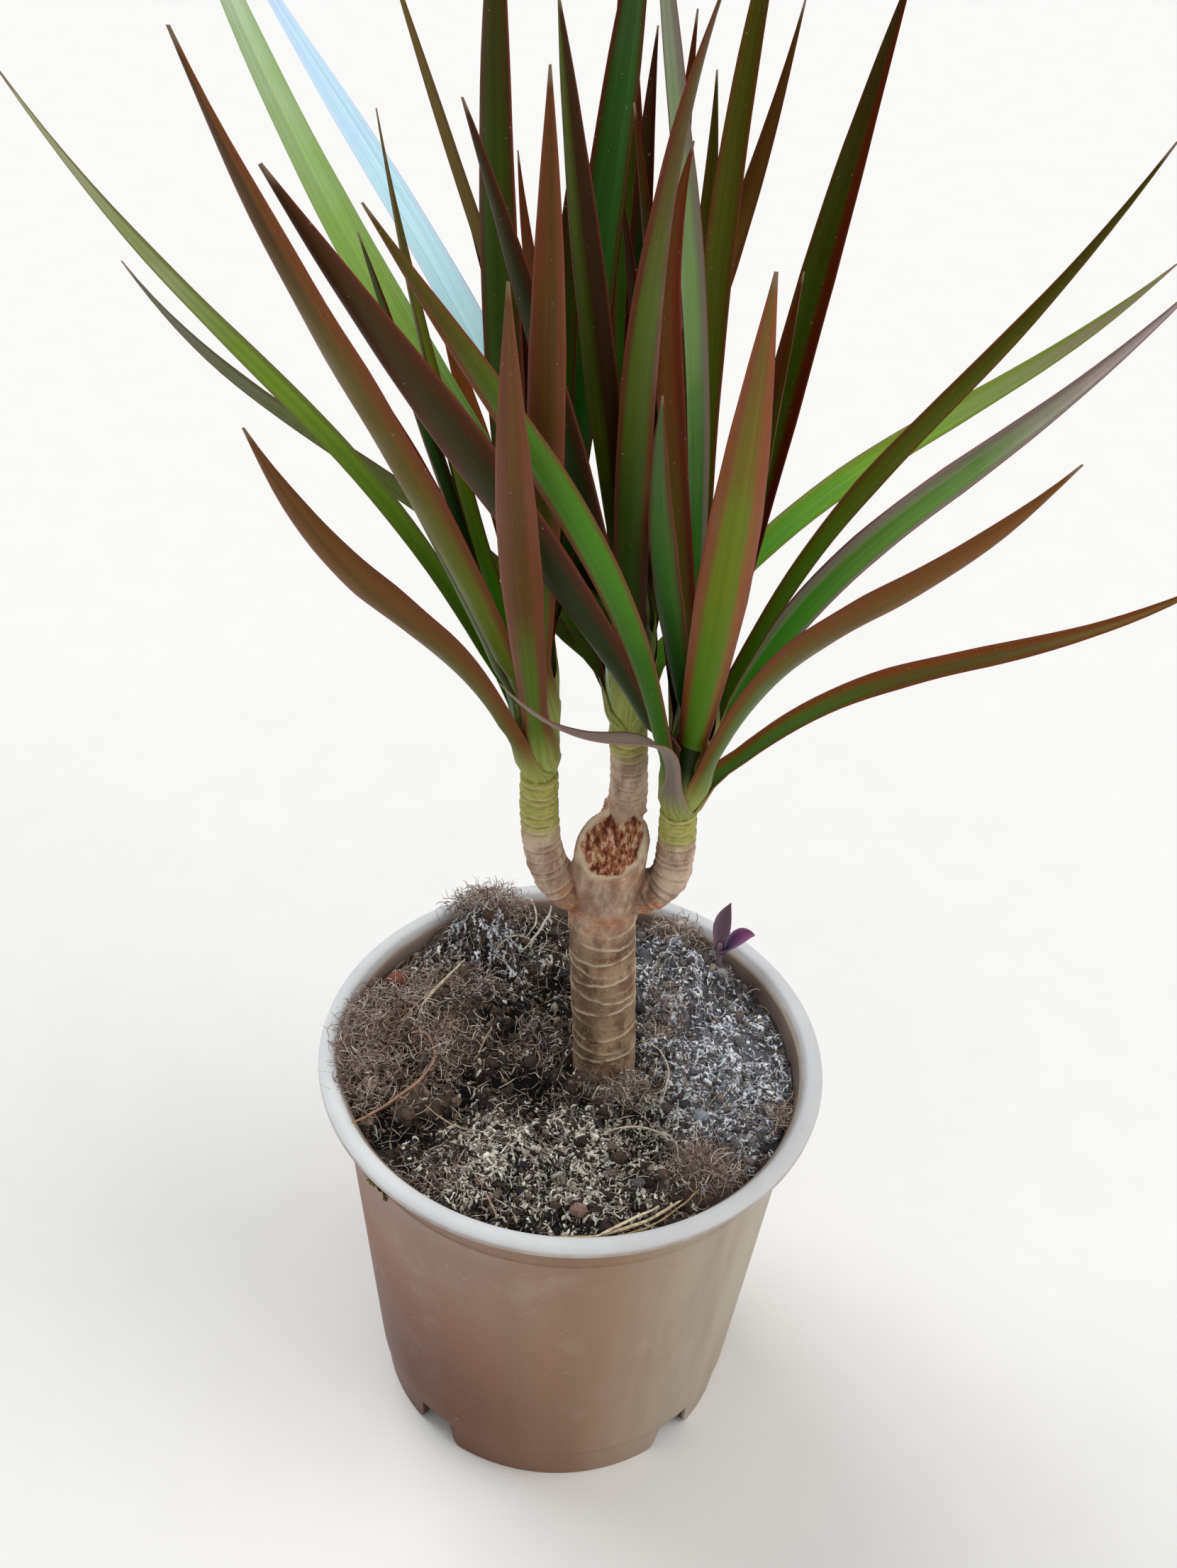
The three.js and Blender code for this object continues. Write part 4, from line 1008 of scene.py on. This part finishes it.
def fibre_piece(name, table, starts, headings, lengths, draw, material):
    """Curly fibres, thinner towards their ends."""
    paths = wandering(starts, headings, lengths, table["curl"], table["reach"], draw)
    radii = draw.uniform(*table["girth"], size=len(starts))[:, None] * np.array(table["taper"])
    tints = tinted(draw, len(starts), table["palette"], table["spread"])
    soil_piece(name, *tubes(paths, radii, tints), material)


def build_fibres(material):
    """Loose root hairs and bits of straw all over the soil."""
    draw = np.random.default_rng(303)
    count = FIBRES["count"]
    spots = scatter(count, lambda x, y: 0.4 + 0.6 * brown_share(x, y), draw, near=0.5)
    lengths = draw.gamma(3.2, 1.5, size=count).clip(2, 13)
    angle = draw.uniform(0, 2 * math.pi, size=count)
    headings = np.column_stack([np.cos(angle), np.sin(angle), draw.normal(0.1, 0.3, size=count)])
    starts = np.column_stack([spots, rough_height(*spots.T) + draw.uniform(0, 1.4, size=count)])
    fibre_piece("soil_fibres", FIBRES, starts, headings, lengths, draw, material)


def build_tufts(material):
    draw = np.random.default_rng(404)
    x, y, rise, half, count = (np.array(column) for column in zip(*TUFTS))
    which = np.repeat(np.arange(len(TUFTS)), count)
    total = len(which)
    inside = unit(draw.normal(size=(total, 3))) * draw.uniform(0, 1, size=(total, 1)) ** 0.4
    starts = np.column_stack([x[which], y[which], np.zeros(total)]) + inside * half[which]
    ground = rough_height(starts[:, 0], starts[:, 1])
    starts[:, 2] = ground + np.maximum(0.1, rise[which] + inside[:, 2] * half[which, 2] * 0.8)
    headings = np.column_stack([draw.normal(0, 1, (total, 2)), draw.normal(0, 0.3, total)])
    # shorter in the two tufts at the back, which stand against the rim
    lengths = draw.gamma(3.5, 1.7, size=total).clip(2, np.where(y[which] > 50, 7, 15))
    fibre_piece("peat_tufts", TUFT_FIBRES, starts, headings, lengths, draw, material)


def build_strands(material):
    draw = np.random.default_rng(505)
    at = np.linspace(0, 1, STRAND["steps"])
    swollen = 1 - STRAND["thinnest"]
    paths, radii = [], []
    for points, radius, _ in STRANDS:
        places = np.linspace(0, 1, len(points))
        bend = np.polynomial.polynomial.polyfit(places, np.array(points, dtype=float), len(points) - 1)
        path = np.polynomial.polynomial.polyval(at, bend).T
        waver = [value_noise(path + 50 * axis, STRAND["waver_size"], 21) for axis in range(3)]
        path = path + STRAND["waver"] * np.stack(waver, axis=1)
        path[:, 2] = np.maximum(path[:, 2], rough_height(path[:, 0], path[:, 1]) + radius * 0.8)
        paths.append(path)
        taper = STRAND["thinnest"] + swollen * np.sin(math.pi * np.clip(at, 0.03, 0.97)) ** 0.5
        radii.append(radius * taper * draw.uniform(*STRAND["uneven"], len(at)))
    tints = np.array([colour(text) for *_, text in STRANDS])
    soil_piece("soil_strands", *tubes(np.array(paths), np.array(radii), tints, STRAND["sides"]), material)


def build_stones(material):
    rows, sides = STONE["rows"], STONE["sides"]
    polar = np.linspace(0.02, math.pi - 0.02, rows)
    ball = lathe_points(np.stack([np.sin(polar), np.cos(polar)], axis=1), sides)
    parts, tints = [], []
    for number, (x, y, rise, half, text) in enumerate(STONES):
        uneven = 1 + STONE["uneven"] * layered_noise(ball + 9 * number, STONE["lump_size"], 23)[:, None]
        centre = (x, y, rough_height(np.array([x]), np.array([y]))[0] + rise)
        parts.append(capped(ball * uneven * half + centre, rows, sides))
        tints.append(np.tile(colour(text), (len(parts[-1][0]), 1)))
    soil_piece("soil_stones", *joined(parts), np.concatenate(tints), material)


def build_moss(material):
    draw = np.random.default_rng(606)
    count, (low, high) = MOSS["count"], MOSS["heights"]
    middle = sum(MOSS["azimuths"]) / 2
    azimuth = np.radians(draw.normal(middle, MOSS["spread"], size=count).clip(*MOSS["azimuths"]))
    height = high - (high - low) * draw.uniform(0, 1, size=count) ** MOSS["crowding"]
    size = draw.uniform(*MOSS["size"], size=count)
    radius = outer_radius(height) + size * draw.uniform(*MOSS["proud"], size=count)
    centres = np.column_stack([radius * np.cos(azimuth), radius * np.sin(azimuth), height])
    sizes = size[:, None] * draw.uniform(*MOSS["stretch"], size=(count, 3))
    tints = tinted(draw, count, MOSS["palette"])
    soil_piece("wall_moss", *lumps(centres, sizes, tints, draw), material)


# ---- trunk ----------------------------------------------------------------------------------------------
def branch_path(name):
    """Points and radii along a branch, smoothly through its table and its crown's seat."""
    rows = np.array([*BRANCHES[name], (*CROWNS[name]["seat"], BRANCH["tip_radius"])], dtype=float)
    knots, radii = rows[:, :3], rows[:, 3]
    padded = np.vstack([2 * knots[0] - knots[1], knots, 2 * knots[-1] - knots[-2]])
    spans = len(knots) - 1
    at = np.linspace(0, spans, BRANCH["steps"])
    span = np.minimum(at.astype(int), spans - 1)
    t = (at - span)[:, None]
    p0, p1, p2, p3 = (padded[span + shift] for shift in range(4))
    points = 0.5 * (2 * p1 + (p2 - p0) * t + (2 * p0 - 5 * p1 + 4 * p2 - p3) * t ** 2
                    + (3 * p1 - p0 - 3 * p2 + p3) * t ** 3)
    return points, np.interp(at, np.arange(spans + 1), radii)


def tube_solid(points, radii, sides):
    tangents = unit(np.gradient(points, axis=0))
    across = unit(np.array([0.0, 1.0, 0.0]) - tangents * tangents[:, 1:2])
    rings = [ring(*at, sides) for at in zip(points, across, np.cross(tangents, across), radii)]
    return capped(np.concatenate(rings), len(points), sides)


def cane_axis(height):
    """The cane's axis x and radius at a height."""
    heights, places, radii = zip(*CANE["stations"])
    return np.interp(height, heights, places), np.interp(height, heights, radii)


def cut_height(x, y):
    """Height of the slanting saw cut."""
    middle, slope = CANE["cut_centre"], CANE["cut_slope"]
    return middle[2] + slope[0] * (x - middle[0]) + slope[1] * (y - middle[1])


def cane_solid():
    """The cane with its slanting, hollowed top."""
    angle = round_angles(CANE["sides"])

    def wall(height):
        centre, radius = cane_axis(height)
        return centre + radius * np.cos(angle), CANE["y"] + radius * np.sin(angle)

    top = np.full(len(angle), float(CANE["cut_centre"][2]))
    for _ in range(4):
        top = cut_height(*wall(top))
    heights = [CANE["bottom"] + share * (top - CANE["bottom"]) for share in np.linspace(0, 1, CANE["rows"])]
    rows = [np.stack([*wall(height), height], axis=1) for height in heights]
    rim_x, rim_y = wall(top)
    centre_x, centre_y, _ = CANE["cut_centre"]
    for share in CANE["cut_rings"]:
        x = centre_x + (rim_x - centre_x) * share
        y = centre_y + (rim_y - centre_y) * share
        hollow = CANE["pith_depth"] * smooth(*CANE["pith_shares"], share)
        rows.append(np.stack([x, y, cut_height(x, y) - hollow], axis=1))
    return capped(np.concatenate(rows), len(rows), len(angle))


def trunk_skin(paths, material):
    """The cane and its branches as one skin."""
    solids = [cane_solid(), *(tube_solid(*path, BRANCH["sides"]) for path in paths)]
    piece = make_mesh("cane_and_branches", *joined(solids), material)
    remesh = piece.modifiers.new("join", "REMESH")
    remesh.mode, remesh.voxel_size, remesh.use_smooth_shade = "VOXEL", BARK["voxel"] * MM, True
    soften = piece.modifiers.new("soften", "SMOOTH")
    soften.factor, soften.iterations = 0.5, BARK["smoothing"]
    apply_modifiers(piece)
    return piece


def nearest_branch(points, paths):
    """Its number, how far its axis is in radii, and the distance along it, for each point."""
    gaps, distances = [], []
    for path, radii in paths:
        steps = np.concatenate([[0], np.cumsum(np.linalg.norm(np.diff(path, axis=0), axis=1))])
        away = np.linalg.norm(points[:, None, :] - path[None], axis=2)
        nearest = away.argmin(axis=1)
        past = np.sum((points - path[nearest]) * unit(np.gradient(path, axis=0))[nearest], axis=1)
        gaps.append(away.min(axis=1) / radii[nearest])
        distances.append(steps[nearest] + past)
    owner = np.argmin(gaps, axis=0)
    return owner, np.min(gaps, axis=0), np.array(distances)[owner, np.arange(len(points))]


def scar_marks(points, azimuth):
    """How pale the leaf scars' broken lines are, and how far the bark rises there."""
    pale, ridge = np.zeros((2, len(points)))
    around = np.stack([azimuth * 4, 0 * azimuth, 0 * azimuth], axis=1)
    for number, (height, tilt, high, strong) in enumerate(SCARS):
        level = height + tilt * np.cos(azimuth - math.radians(high))
        level = level + 0.35 * value_noise(around + (0, 0, number), 1.0, 7)
        near = points[:, 2] - level
        facing = 0.5 + 0.5 * np.cos(azimuth - math.radians(strong))
        weight = 0.25 + 0.75 * smooth(0.2, 0.8, facing)
        broken = smooth(-0.75, 0.1, value_noise(points, 2.6, 40 + number))
        groove = bell(near + BARK["groove_below"], BARK["groove_width"])
        pale += weight * broken * bell(near, BARK["line_width"])
        ridge += weight * bell(near, BARK["ridge_width"]) - 0.5 * weight * groove
    return pale, ridge


def build_trunk(material):
    paths = [branch_path(name) for name in BRANCHES]
    piece = trunk_skin(paths, material)
    mesh = piece.data
    points, normals = vectors_of(mesh, "co") / MM, vectors_of(mesh, "normal")
    x, y, z = points.T

    def patchy(low, high, size, seed, stretch=(1, 1, 1)):
        return smooth(low, high, value_noise(points * np.array(stretch), size, seed))

    # which part of the skin is the cane's wood, its cut face and its pith, and which is a branch
    centre, girth = cane_axis(z)
    azimuth = np.arctan2(y - CANE["y"], x - centre)
    spread = np.hypot(x - centre, y - CANE["y"])
    past_cut = z - cut_height(x, y)
    cane_gap = spread / girth + np.maximum(0, past_cut - 0.5) * 0.3
    owner, branch_gap, distance = nearest_branch(points, paths)
    on_branch = smooth(0.12, -0.12, branch_gap - cane_gap)
    wood = 1 - on_branch
    below_cut = smooth(1.0, -1.0, past_cut + 1.2)
    cut = smooth(0.35, 0.7, normals[:, 2]) * wood * smooth(234, 238, z)
    cut = cut * smooth(girth - 0.2, girth - 1.6, spread)
    pith_edge = CANE["pith_radius"] + 0.9 + 1.3 * value_noise(points, 3.0, 33)
    pith = smooth(pith_edge + 0.5, pith_edge - 0.5, spread) * smooth(232, 236, z) * wood
    pith = pith * smooth(0.15, 0.45, normals[:, 2])

    # rings of the branches, counted along them
    pitch = BARK["ring_pitch"]
    high_side = azimuth + np.floor(distance / pitch) * BARK["ring_turn"]
    phase = (distance + BARK["ring_tilt"] * np.cos(high_side)) / pitch % 1 - 0.5
    line = bell(phase, 0.12)
    ringed = on_branch * smooth(9, 14, distance)

    # green ends, and red-brown joints with the cane
    green = np.choose(owner, [smooth(*heights, z) for heights in BARK["green"]]) * on_branch
    low_on_branch = np.choose(owner, [smooth(*heights, z) for heights in BARK["joint"]])
    near_joint = smooth(20, 8, distance - np.choose(owner, BARK["joint_start"])) * (0.3 + 0.7 * low_on_branch)
    joint = 1.4 * near_joint * on_branch + 0.5 * wood * smooth(208, 218, z) * (1 - 0.5 * smooth(222, 232, z))
    joint = np.clip(joint * (0.6 + 1.5 * layered_noise(points, 4.5, 77, 2)), 0, 1)

    # dark creases, fork and collar
    crease = bell(branch_gap - cane_gap, 0.05) * smooth(214, 222, z) * smooth(240, 232, z)
    fork = bell(x - BARK["fork_x"], BARK["fork_half"][0]) * bell(z - BARK["fork_z"], BARK["fork_half"][1])
    fork = fork * smooth(8, 3, y)
    collar = bell(z - BARK["collar_z"], BARK["collar_half"]) * (owner == 1) * on_branch
    dark = 0.55 * line * ringed * patchy(-0.6, 0.4, 2.2, 90) + 0.55 * crease * patchy(-0.3, 0.5, 4.0, 91)
    dark = dark + 0.85 * fork * patchy(-0.6, 0.1, 2.2, 92, (1, 1, 0.5))
    dark = dark + 0.6 * collar * patchy(-0.4, 0.4, 2.5, 93)

    pale, ridge = scar_marks(points, azimuth)
    pale = pale * wood * below_cut * (1 - pith) + 0.8 * cut * (1 - pith)
    pale = pale + 0.45 * ringed * bell(phase - 0.22, 0.1)

    lift = 0.32 * ridge * wood * below_cut + 0.28 * ringed * (1.2 * phase - 0.9 * line)
    lift = lift + 0.16 * layered_noise(points * np.array([1, 1, 0.6]), 2.4, 51)
    lift = lift + 0.9 * pith * layered_noise(points * np.array([1, 0.45, 0.6]), 1.2, 61)
    lift = lift + 0.5 * cut * value_noise(points, 2.0, 63) - 0.6 * crease
    lift = lift + 0.5 * joint * layered_noise(points, 3.0, 71, 2)
    lift = lift + 0.7 * collar * layered_noise(points, 1.6, 73, 2)
    settled = smooth(0.2, 2.5, np.abs(z - CANE["bottom"]))
    moved = points + normals * (lift * settled)[:, None]
    mesh.vertices.foreach_set("co", (moved * MM).astype(np.float32).ravel())
    mesh.update()
    add_fields(mesh, {
        "zones": np.stack([green, joint, pith], axis=1), "pale": np.clip(pale, 0, 1),
        "dark": np.clip(dark, 0, 1), "tan": np.maximum(on_branch, 0.9 * smooth(206, 219, z)),
    })
    finish_piece(piece, "bark", "trunk")


# ---- leaves ---------------------------------------------------------------------------------------------
def blade_rings(tip, lift, arch, bow, width, twist, root, axis, root_radius, settings, draw=None):
    """Rings of a leaf from its root on axis: points (rings, places across, 3) of its upper face and of its
    underside, the rings' shares of its length, and the places across.

    With draw, its foot clasps the stem and its edges wave.
    """
    tip = np.array(tip, dtype=float)
    outward = tip - root
    outward = outward - axis * outward.dot(axis)
    outward[2] = 0
    outward = unit(outward)
    start = root + outward * root_radius
    chord = tip - start
    length = np.linalg.norm(chord)
    side = np.cross(UP, outward)
    lower = start + chord / 3 + axis * lift + side * bow
    upper = start + chord * 2 / 3 + UP * arch + side * bow
    wrap_share = settings["wrap_length"] / length
    shares = np.linspace(0, 1, settings["stations"]) ** settings["crowding"]
    if draw:
        shares = np.concatenate([np.linspace(-wrap_share, 0, settings["wrap_stations"])[:-1], shares])
    free = np.maximum(shares, 0)
    centre, tangent = bezier(start, lower, upper, tip, free)
    across = unit(side - tangent * np.sum(side * tangent, axis=1, keepdims=True))
    across = turn_about(across, tangent, math.radians(twist) * free * (2 - free))
    face = np.cross(tangent, across)

    # the section: places from edge to edge, closer together near the edges, a trough, and its thickness
    even = np.linspace(-1, 1, settings["across"])
    places = np.sin(even * math.pi / 2) * 0.5 + even * 0.5
    widths = np.maximum(settings["tip_width"], width * interpolate(settings["outline"], free))
    clasp = settings["clasp_trough"] * np.maximum(0, 1 - free / settings["clasp_length"])
    depth = (settings["trough"] + clasp) * widths
    bulge = (settings["thickness"] - settings["edge_thickness"]) * (1 - np.abs(places) ** 3)
    thickness = (settings["edge_thickness"] + bulge) * (0.45 + 0.55 * smooth(1.0, 0.6, free))[:, None]
    bend = depth[:, None] * (places ** 2 - 0.5)
    if draw:
        waves = draw.uniform(*settings["waves"])
        phase = draw.uniform(0, settings["wave_turn"])
        wave = np.sin(waves * free * settings["wave_turn"] / 2 + phase) * smooth(0.1, 0.3, free)
        bend = bend + settings["wave_height"] * width * wave[:, None] * (places ** 2 * np.sign(places))

    def blade(below):
        sideways = across[:, None] * (places[None, :, None] * widths[:, None, None] / 2)
        return centre[:, None] + sideways + face[:, None] * (bend - below)[..., None]

    if not draw:
        return blade(0), blade(thickness), shares, places
    climb = settings["root_height"] + shares * length
    start_side = unit(outward - axis * outward.dot(axis))
    angle = places * interpolate([
        (-wrap_share, settings["wrap_angle"]), (-0.25 * wrap_share, settings["wrap_angle"] * 0.72),
        *settings["opening"],
    ], shares)[:, None]
    directions = np.cos(angle)[..., None] * start_side + np.sin(angle)[..., None] * np.cross(axis, start_side)
    radius = interpolate(SHEATH, climb) - settings["wrap_rise"]
    radius = radius + settings["wrap_rise"] * np.clip(1 + shares / wrap_share, 0, 1.3)
    stem = root - axis * settings["root_height"] + axis * climb[:, None, None]
    let_go = smooth(0, 0.1, shares)[:, None, None]

    def whole(below):
        clasped = stem + (radius[:, None] + below)[..., None] * directions
        return clasped * (1 - let_go) + blade(below) * let_go

    return whole(np.zeros_like(thickness)), whole(thickness), shares, places


def blade_solid(top, bottom, shares, places, seed):
    """Closed leaf: (points, quads, ends), the blade coordinates, and 1 at the points of the underside."""
    rings = np.concatenate([bottom, top[:, ::-1]], axis=1)
    rows, columns, _ = rings.shape
    first = np.arange(columns)[::-1]
    last = (rows - 1) * columns + np.arange(columns)
    across = np.concatenate([places, places[::-1]])
    under = np.repeat([1.0, 0.0], len(places))
    blade = np.column_stack([np.tile(across, rows), np.repeat(shares, columns),
                             np.full(rows * columns, seed)])
    part = rings.reshape(-1, 3), grid_faces(rows, columns), np.stack([first, last])
    return part, blade, np.tile(under, rows)


def leaf_colour(text):
    """The table's colour, balanced for the pale studio."""
    shares = np.array(colour(text))
    grey = shares[:3] @ np.array([0.21, 0.72, 0.07])
    strong = np.maximum(0.002, grey + (shares[:3] - grey) * VIVID)
    gains = np.array(DEEPEN)
    gains[2] += COOL * smooth(0.35, 0.7, shares[2] / shares[:3].max())
    gains *= 1 + LIGHTEN * smooth(0.13, 0.45, shares[:3].max())
    shares[:3] = strong * gains
    return shares


def build_crown(name, material):
    crown = CROWNS[name]
    seat = np.array(crown["seat"], dtype=float)
    axis = unit(np.array(crown["axis"], dtype=float))
    draw = np.random.default_rng(crown["seed"])
    parts, fields = [], {label: [] for label in LEAF_FIELDS}
    for height, tip, lift, arch, bow, width, twist, look in LEAVES[name]:
        settings = {**LEAF, "root_height": height}
        settings["wrap_length"] = min(LEAF["wrap_length"], height + LEAF["wrap_below"])
        root_radius = LEAF["root_radius"] - LEAF["root_taper"] * height
        rings = blade_rings(tip, lift, arch, bow, width, twist, seat + axis * height, axis, root_radius,
                            settings, draw)
        part, blade, under = blade_solid(*rings, draw.uniform())
        *texts, reach, lean = LOOKS[look]
        shade = draw.uniform(0.94, 1.06)
        values = [*(leaf_colour(text) * shade for text in texts), reach, float(lean)]
        for label, value in zip(LEAF_FIELDS, values):
            fields[label].append(np.repeat([value], len(blade), axis=0))
        fields["blade"].append(blade)
        fields["under"].append(under)
        parts.append(part)
    # the stem inside the clasping leaves
    profile = [(height + 0.3, max(0.4, radius - LEAF["wrap_rise"] - 0.2)) for height, radius in SHEATH[:-1]]
    along, sides = np.cross(axis, RIGHT), LEAF["stem_sides"]
    rings = [ring(seat + axis * height, RIGHT, along, radius, sides) for height, radius in profile]
    parts.append(capped(np.concatenate(rings), len(profile), sides))
    for label, value in zip(LEAF_FIELDS, [colour(STEM_COLOUR)] * 4 + [0.0, 0.0, (0.0, 0.0, 0.0), 0.0]):
        fields[label].append(np.repeat([value], len(parts[-1][0]), axis=0))
    fields = {label: np.concatenate(values) for label, values in fields.items()}
    finish_piece(make_mesh(f"leaves_{name}", *joined(parts), material, fields), "leaf", f"crown_{name}")


def build_seedling(material):
    (x, y), radius, top, sides = (SEEDLING[key] for key in ("foot", "stem_radius", "stem_top", "stem_sides"))
    root = np.array([x, y, SEEDLING["leaf_root"]], dtype=float)
    rows = [(radius, height) for height in np.linspace(SEEDLING["stem_bottom"], top, SEEDLING["stem_rows"])]
    rows.append((radius * 0.5, top + 0.6))
    parts = [capped(lathe_points(rows, sides, x, y), len(rows), sides)]
    blades = [np.tile([0.0, 0.2, 0.9], (len(parts[0][0]), 1))]
    settings = {**LEAF, **SEEDLING["settings"]}
    for number, leaf in enumerate(SEEDLING["leaves"]):
        part, blade, _ = blade_solid(*blade_rings(*leaf, root, UP, 0.0, settings), 1.0 - number)
        parts.append(part)
        blades.append(blade)
    piece = make_mesh("purple_seedling", *joined(parts), material, {"blade": np.concatenate(blades)})
    finish_piece(piece, "seedling", "seedling")


# ---- stage ----------------------------------------------------------------------------------------------
def build_stage():
    shader = Shader("pale_floor", 0.1)
    grain = shader.noise(40.0)
    shader.base = shader.mix(grain, "#f4f3f1", "#efeeec")
    size = 4000.0
    corners = [(-size, -size, 0), (size, -size, 0), (size, size, 0), (-size, size, 0)]
    floor = make_mesh("floor", corners, [[(0, 1, 2, 3)]], shader.finished(grain, (0.85, 0.95)))


def sun(name, azimuth, elevation, spread, strength, tint):
    """A wide, soft light from far away."""
    data = bpy.data.lights.new(name, "SUN")
    data.angle, data.energy, data.color = math.radians(spread), strength, tint
    turn, rise = math.radians(azimuth), math.radians(elevation)
    towards = Vector((math.cos(rise) * math.cos(turn), math.cos(rise) * math.sin(turn), math.sin(rise)))
    add_object(name, data).rotation_euler = towards.to_track_quat("Z", "Y").to_euler()


def build_lights():
    world = bpy.data.worlds.new("studio")
    world.use_nodes = True
    background = world.node_tree.nodes["Background"].inputs
    background["Color"].default_value = (0.97, 0.98, 1.0, 1)
    background["Strength"].default_value = 0.42
    bpy.context.scene.world = world
    bpy.context.scene.view_settings.view_transform = "Standard"
    sun("window", 140, 52, 40, 1.5, (0.95, 0.98, 1.0))
    sun("room", -15, 42, 50, 1.1, (1.0, 0.97, 0.93))
    sun("front", -100, 50, 70, 0.35, (1.0, 0.98, 0.96))


def build_camera():
    data = bpy.data.cameras.new("camera")
    data.lens, data.sensor_width, data.sensor_fit = CAMERA["lens"], 36.0, "AUTO"
    data.clip_start, data.clip_end = 0.01, 20.0
    camera = add_object("camera", data)
    camera.matrix_world = (Matrix.Translation(Vector(CAMERA["place"]) * MM)
                           @ Matrix.Rotation(math.radians(90 - CAMERA["tilt"]), 4, "X")
                           @ Matrix.Rotation(math.radians(CAMERA["roll"]), 4, "Z"))
    bpy.context.scene.camera = camera


build_camera()
build_lights()
build_stage()
leaf_finish = leaf_material()
build_pot(pot_material())
build_soil_bed(soil_material())
lump_finish = tinted_material("peat_lumps", (0.85, 1.0), 900.0, 0.0006)
build_crumbs(lump_finish)
build_crust(tinted_material("mineral_crust", (0.8, 1.0), 1200.0, 0.0004, 0.25))
fibre_finish = tinted_material("fibre", (0.6, 0.85), 700.0, 0.0003)
build_fibres(fibre_finish)
build_tufts(fibre_finish)
build_strands(fibre_finish)
build_stones(lump_finish)
build_moss(lump_finish)
build_trunk(bark_material())
for crown_name in CROWNS:
    build_crown(crown_name, leaf_finish)
build_seedling(seedling_material())
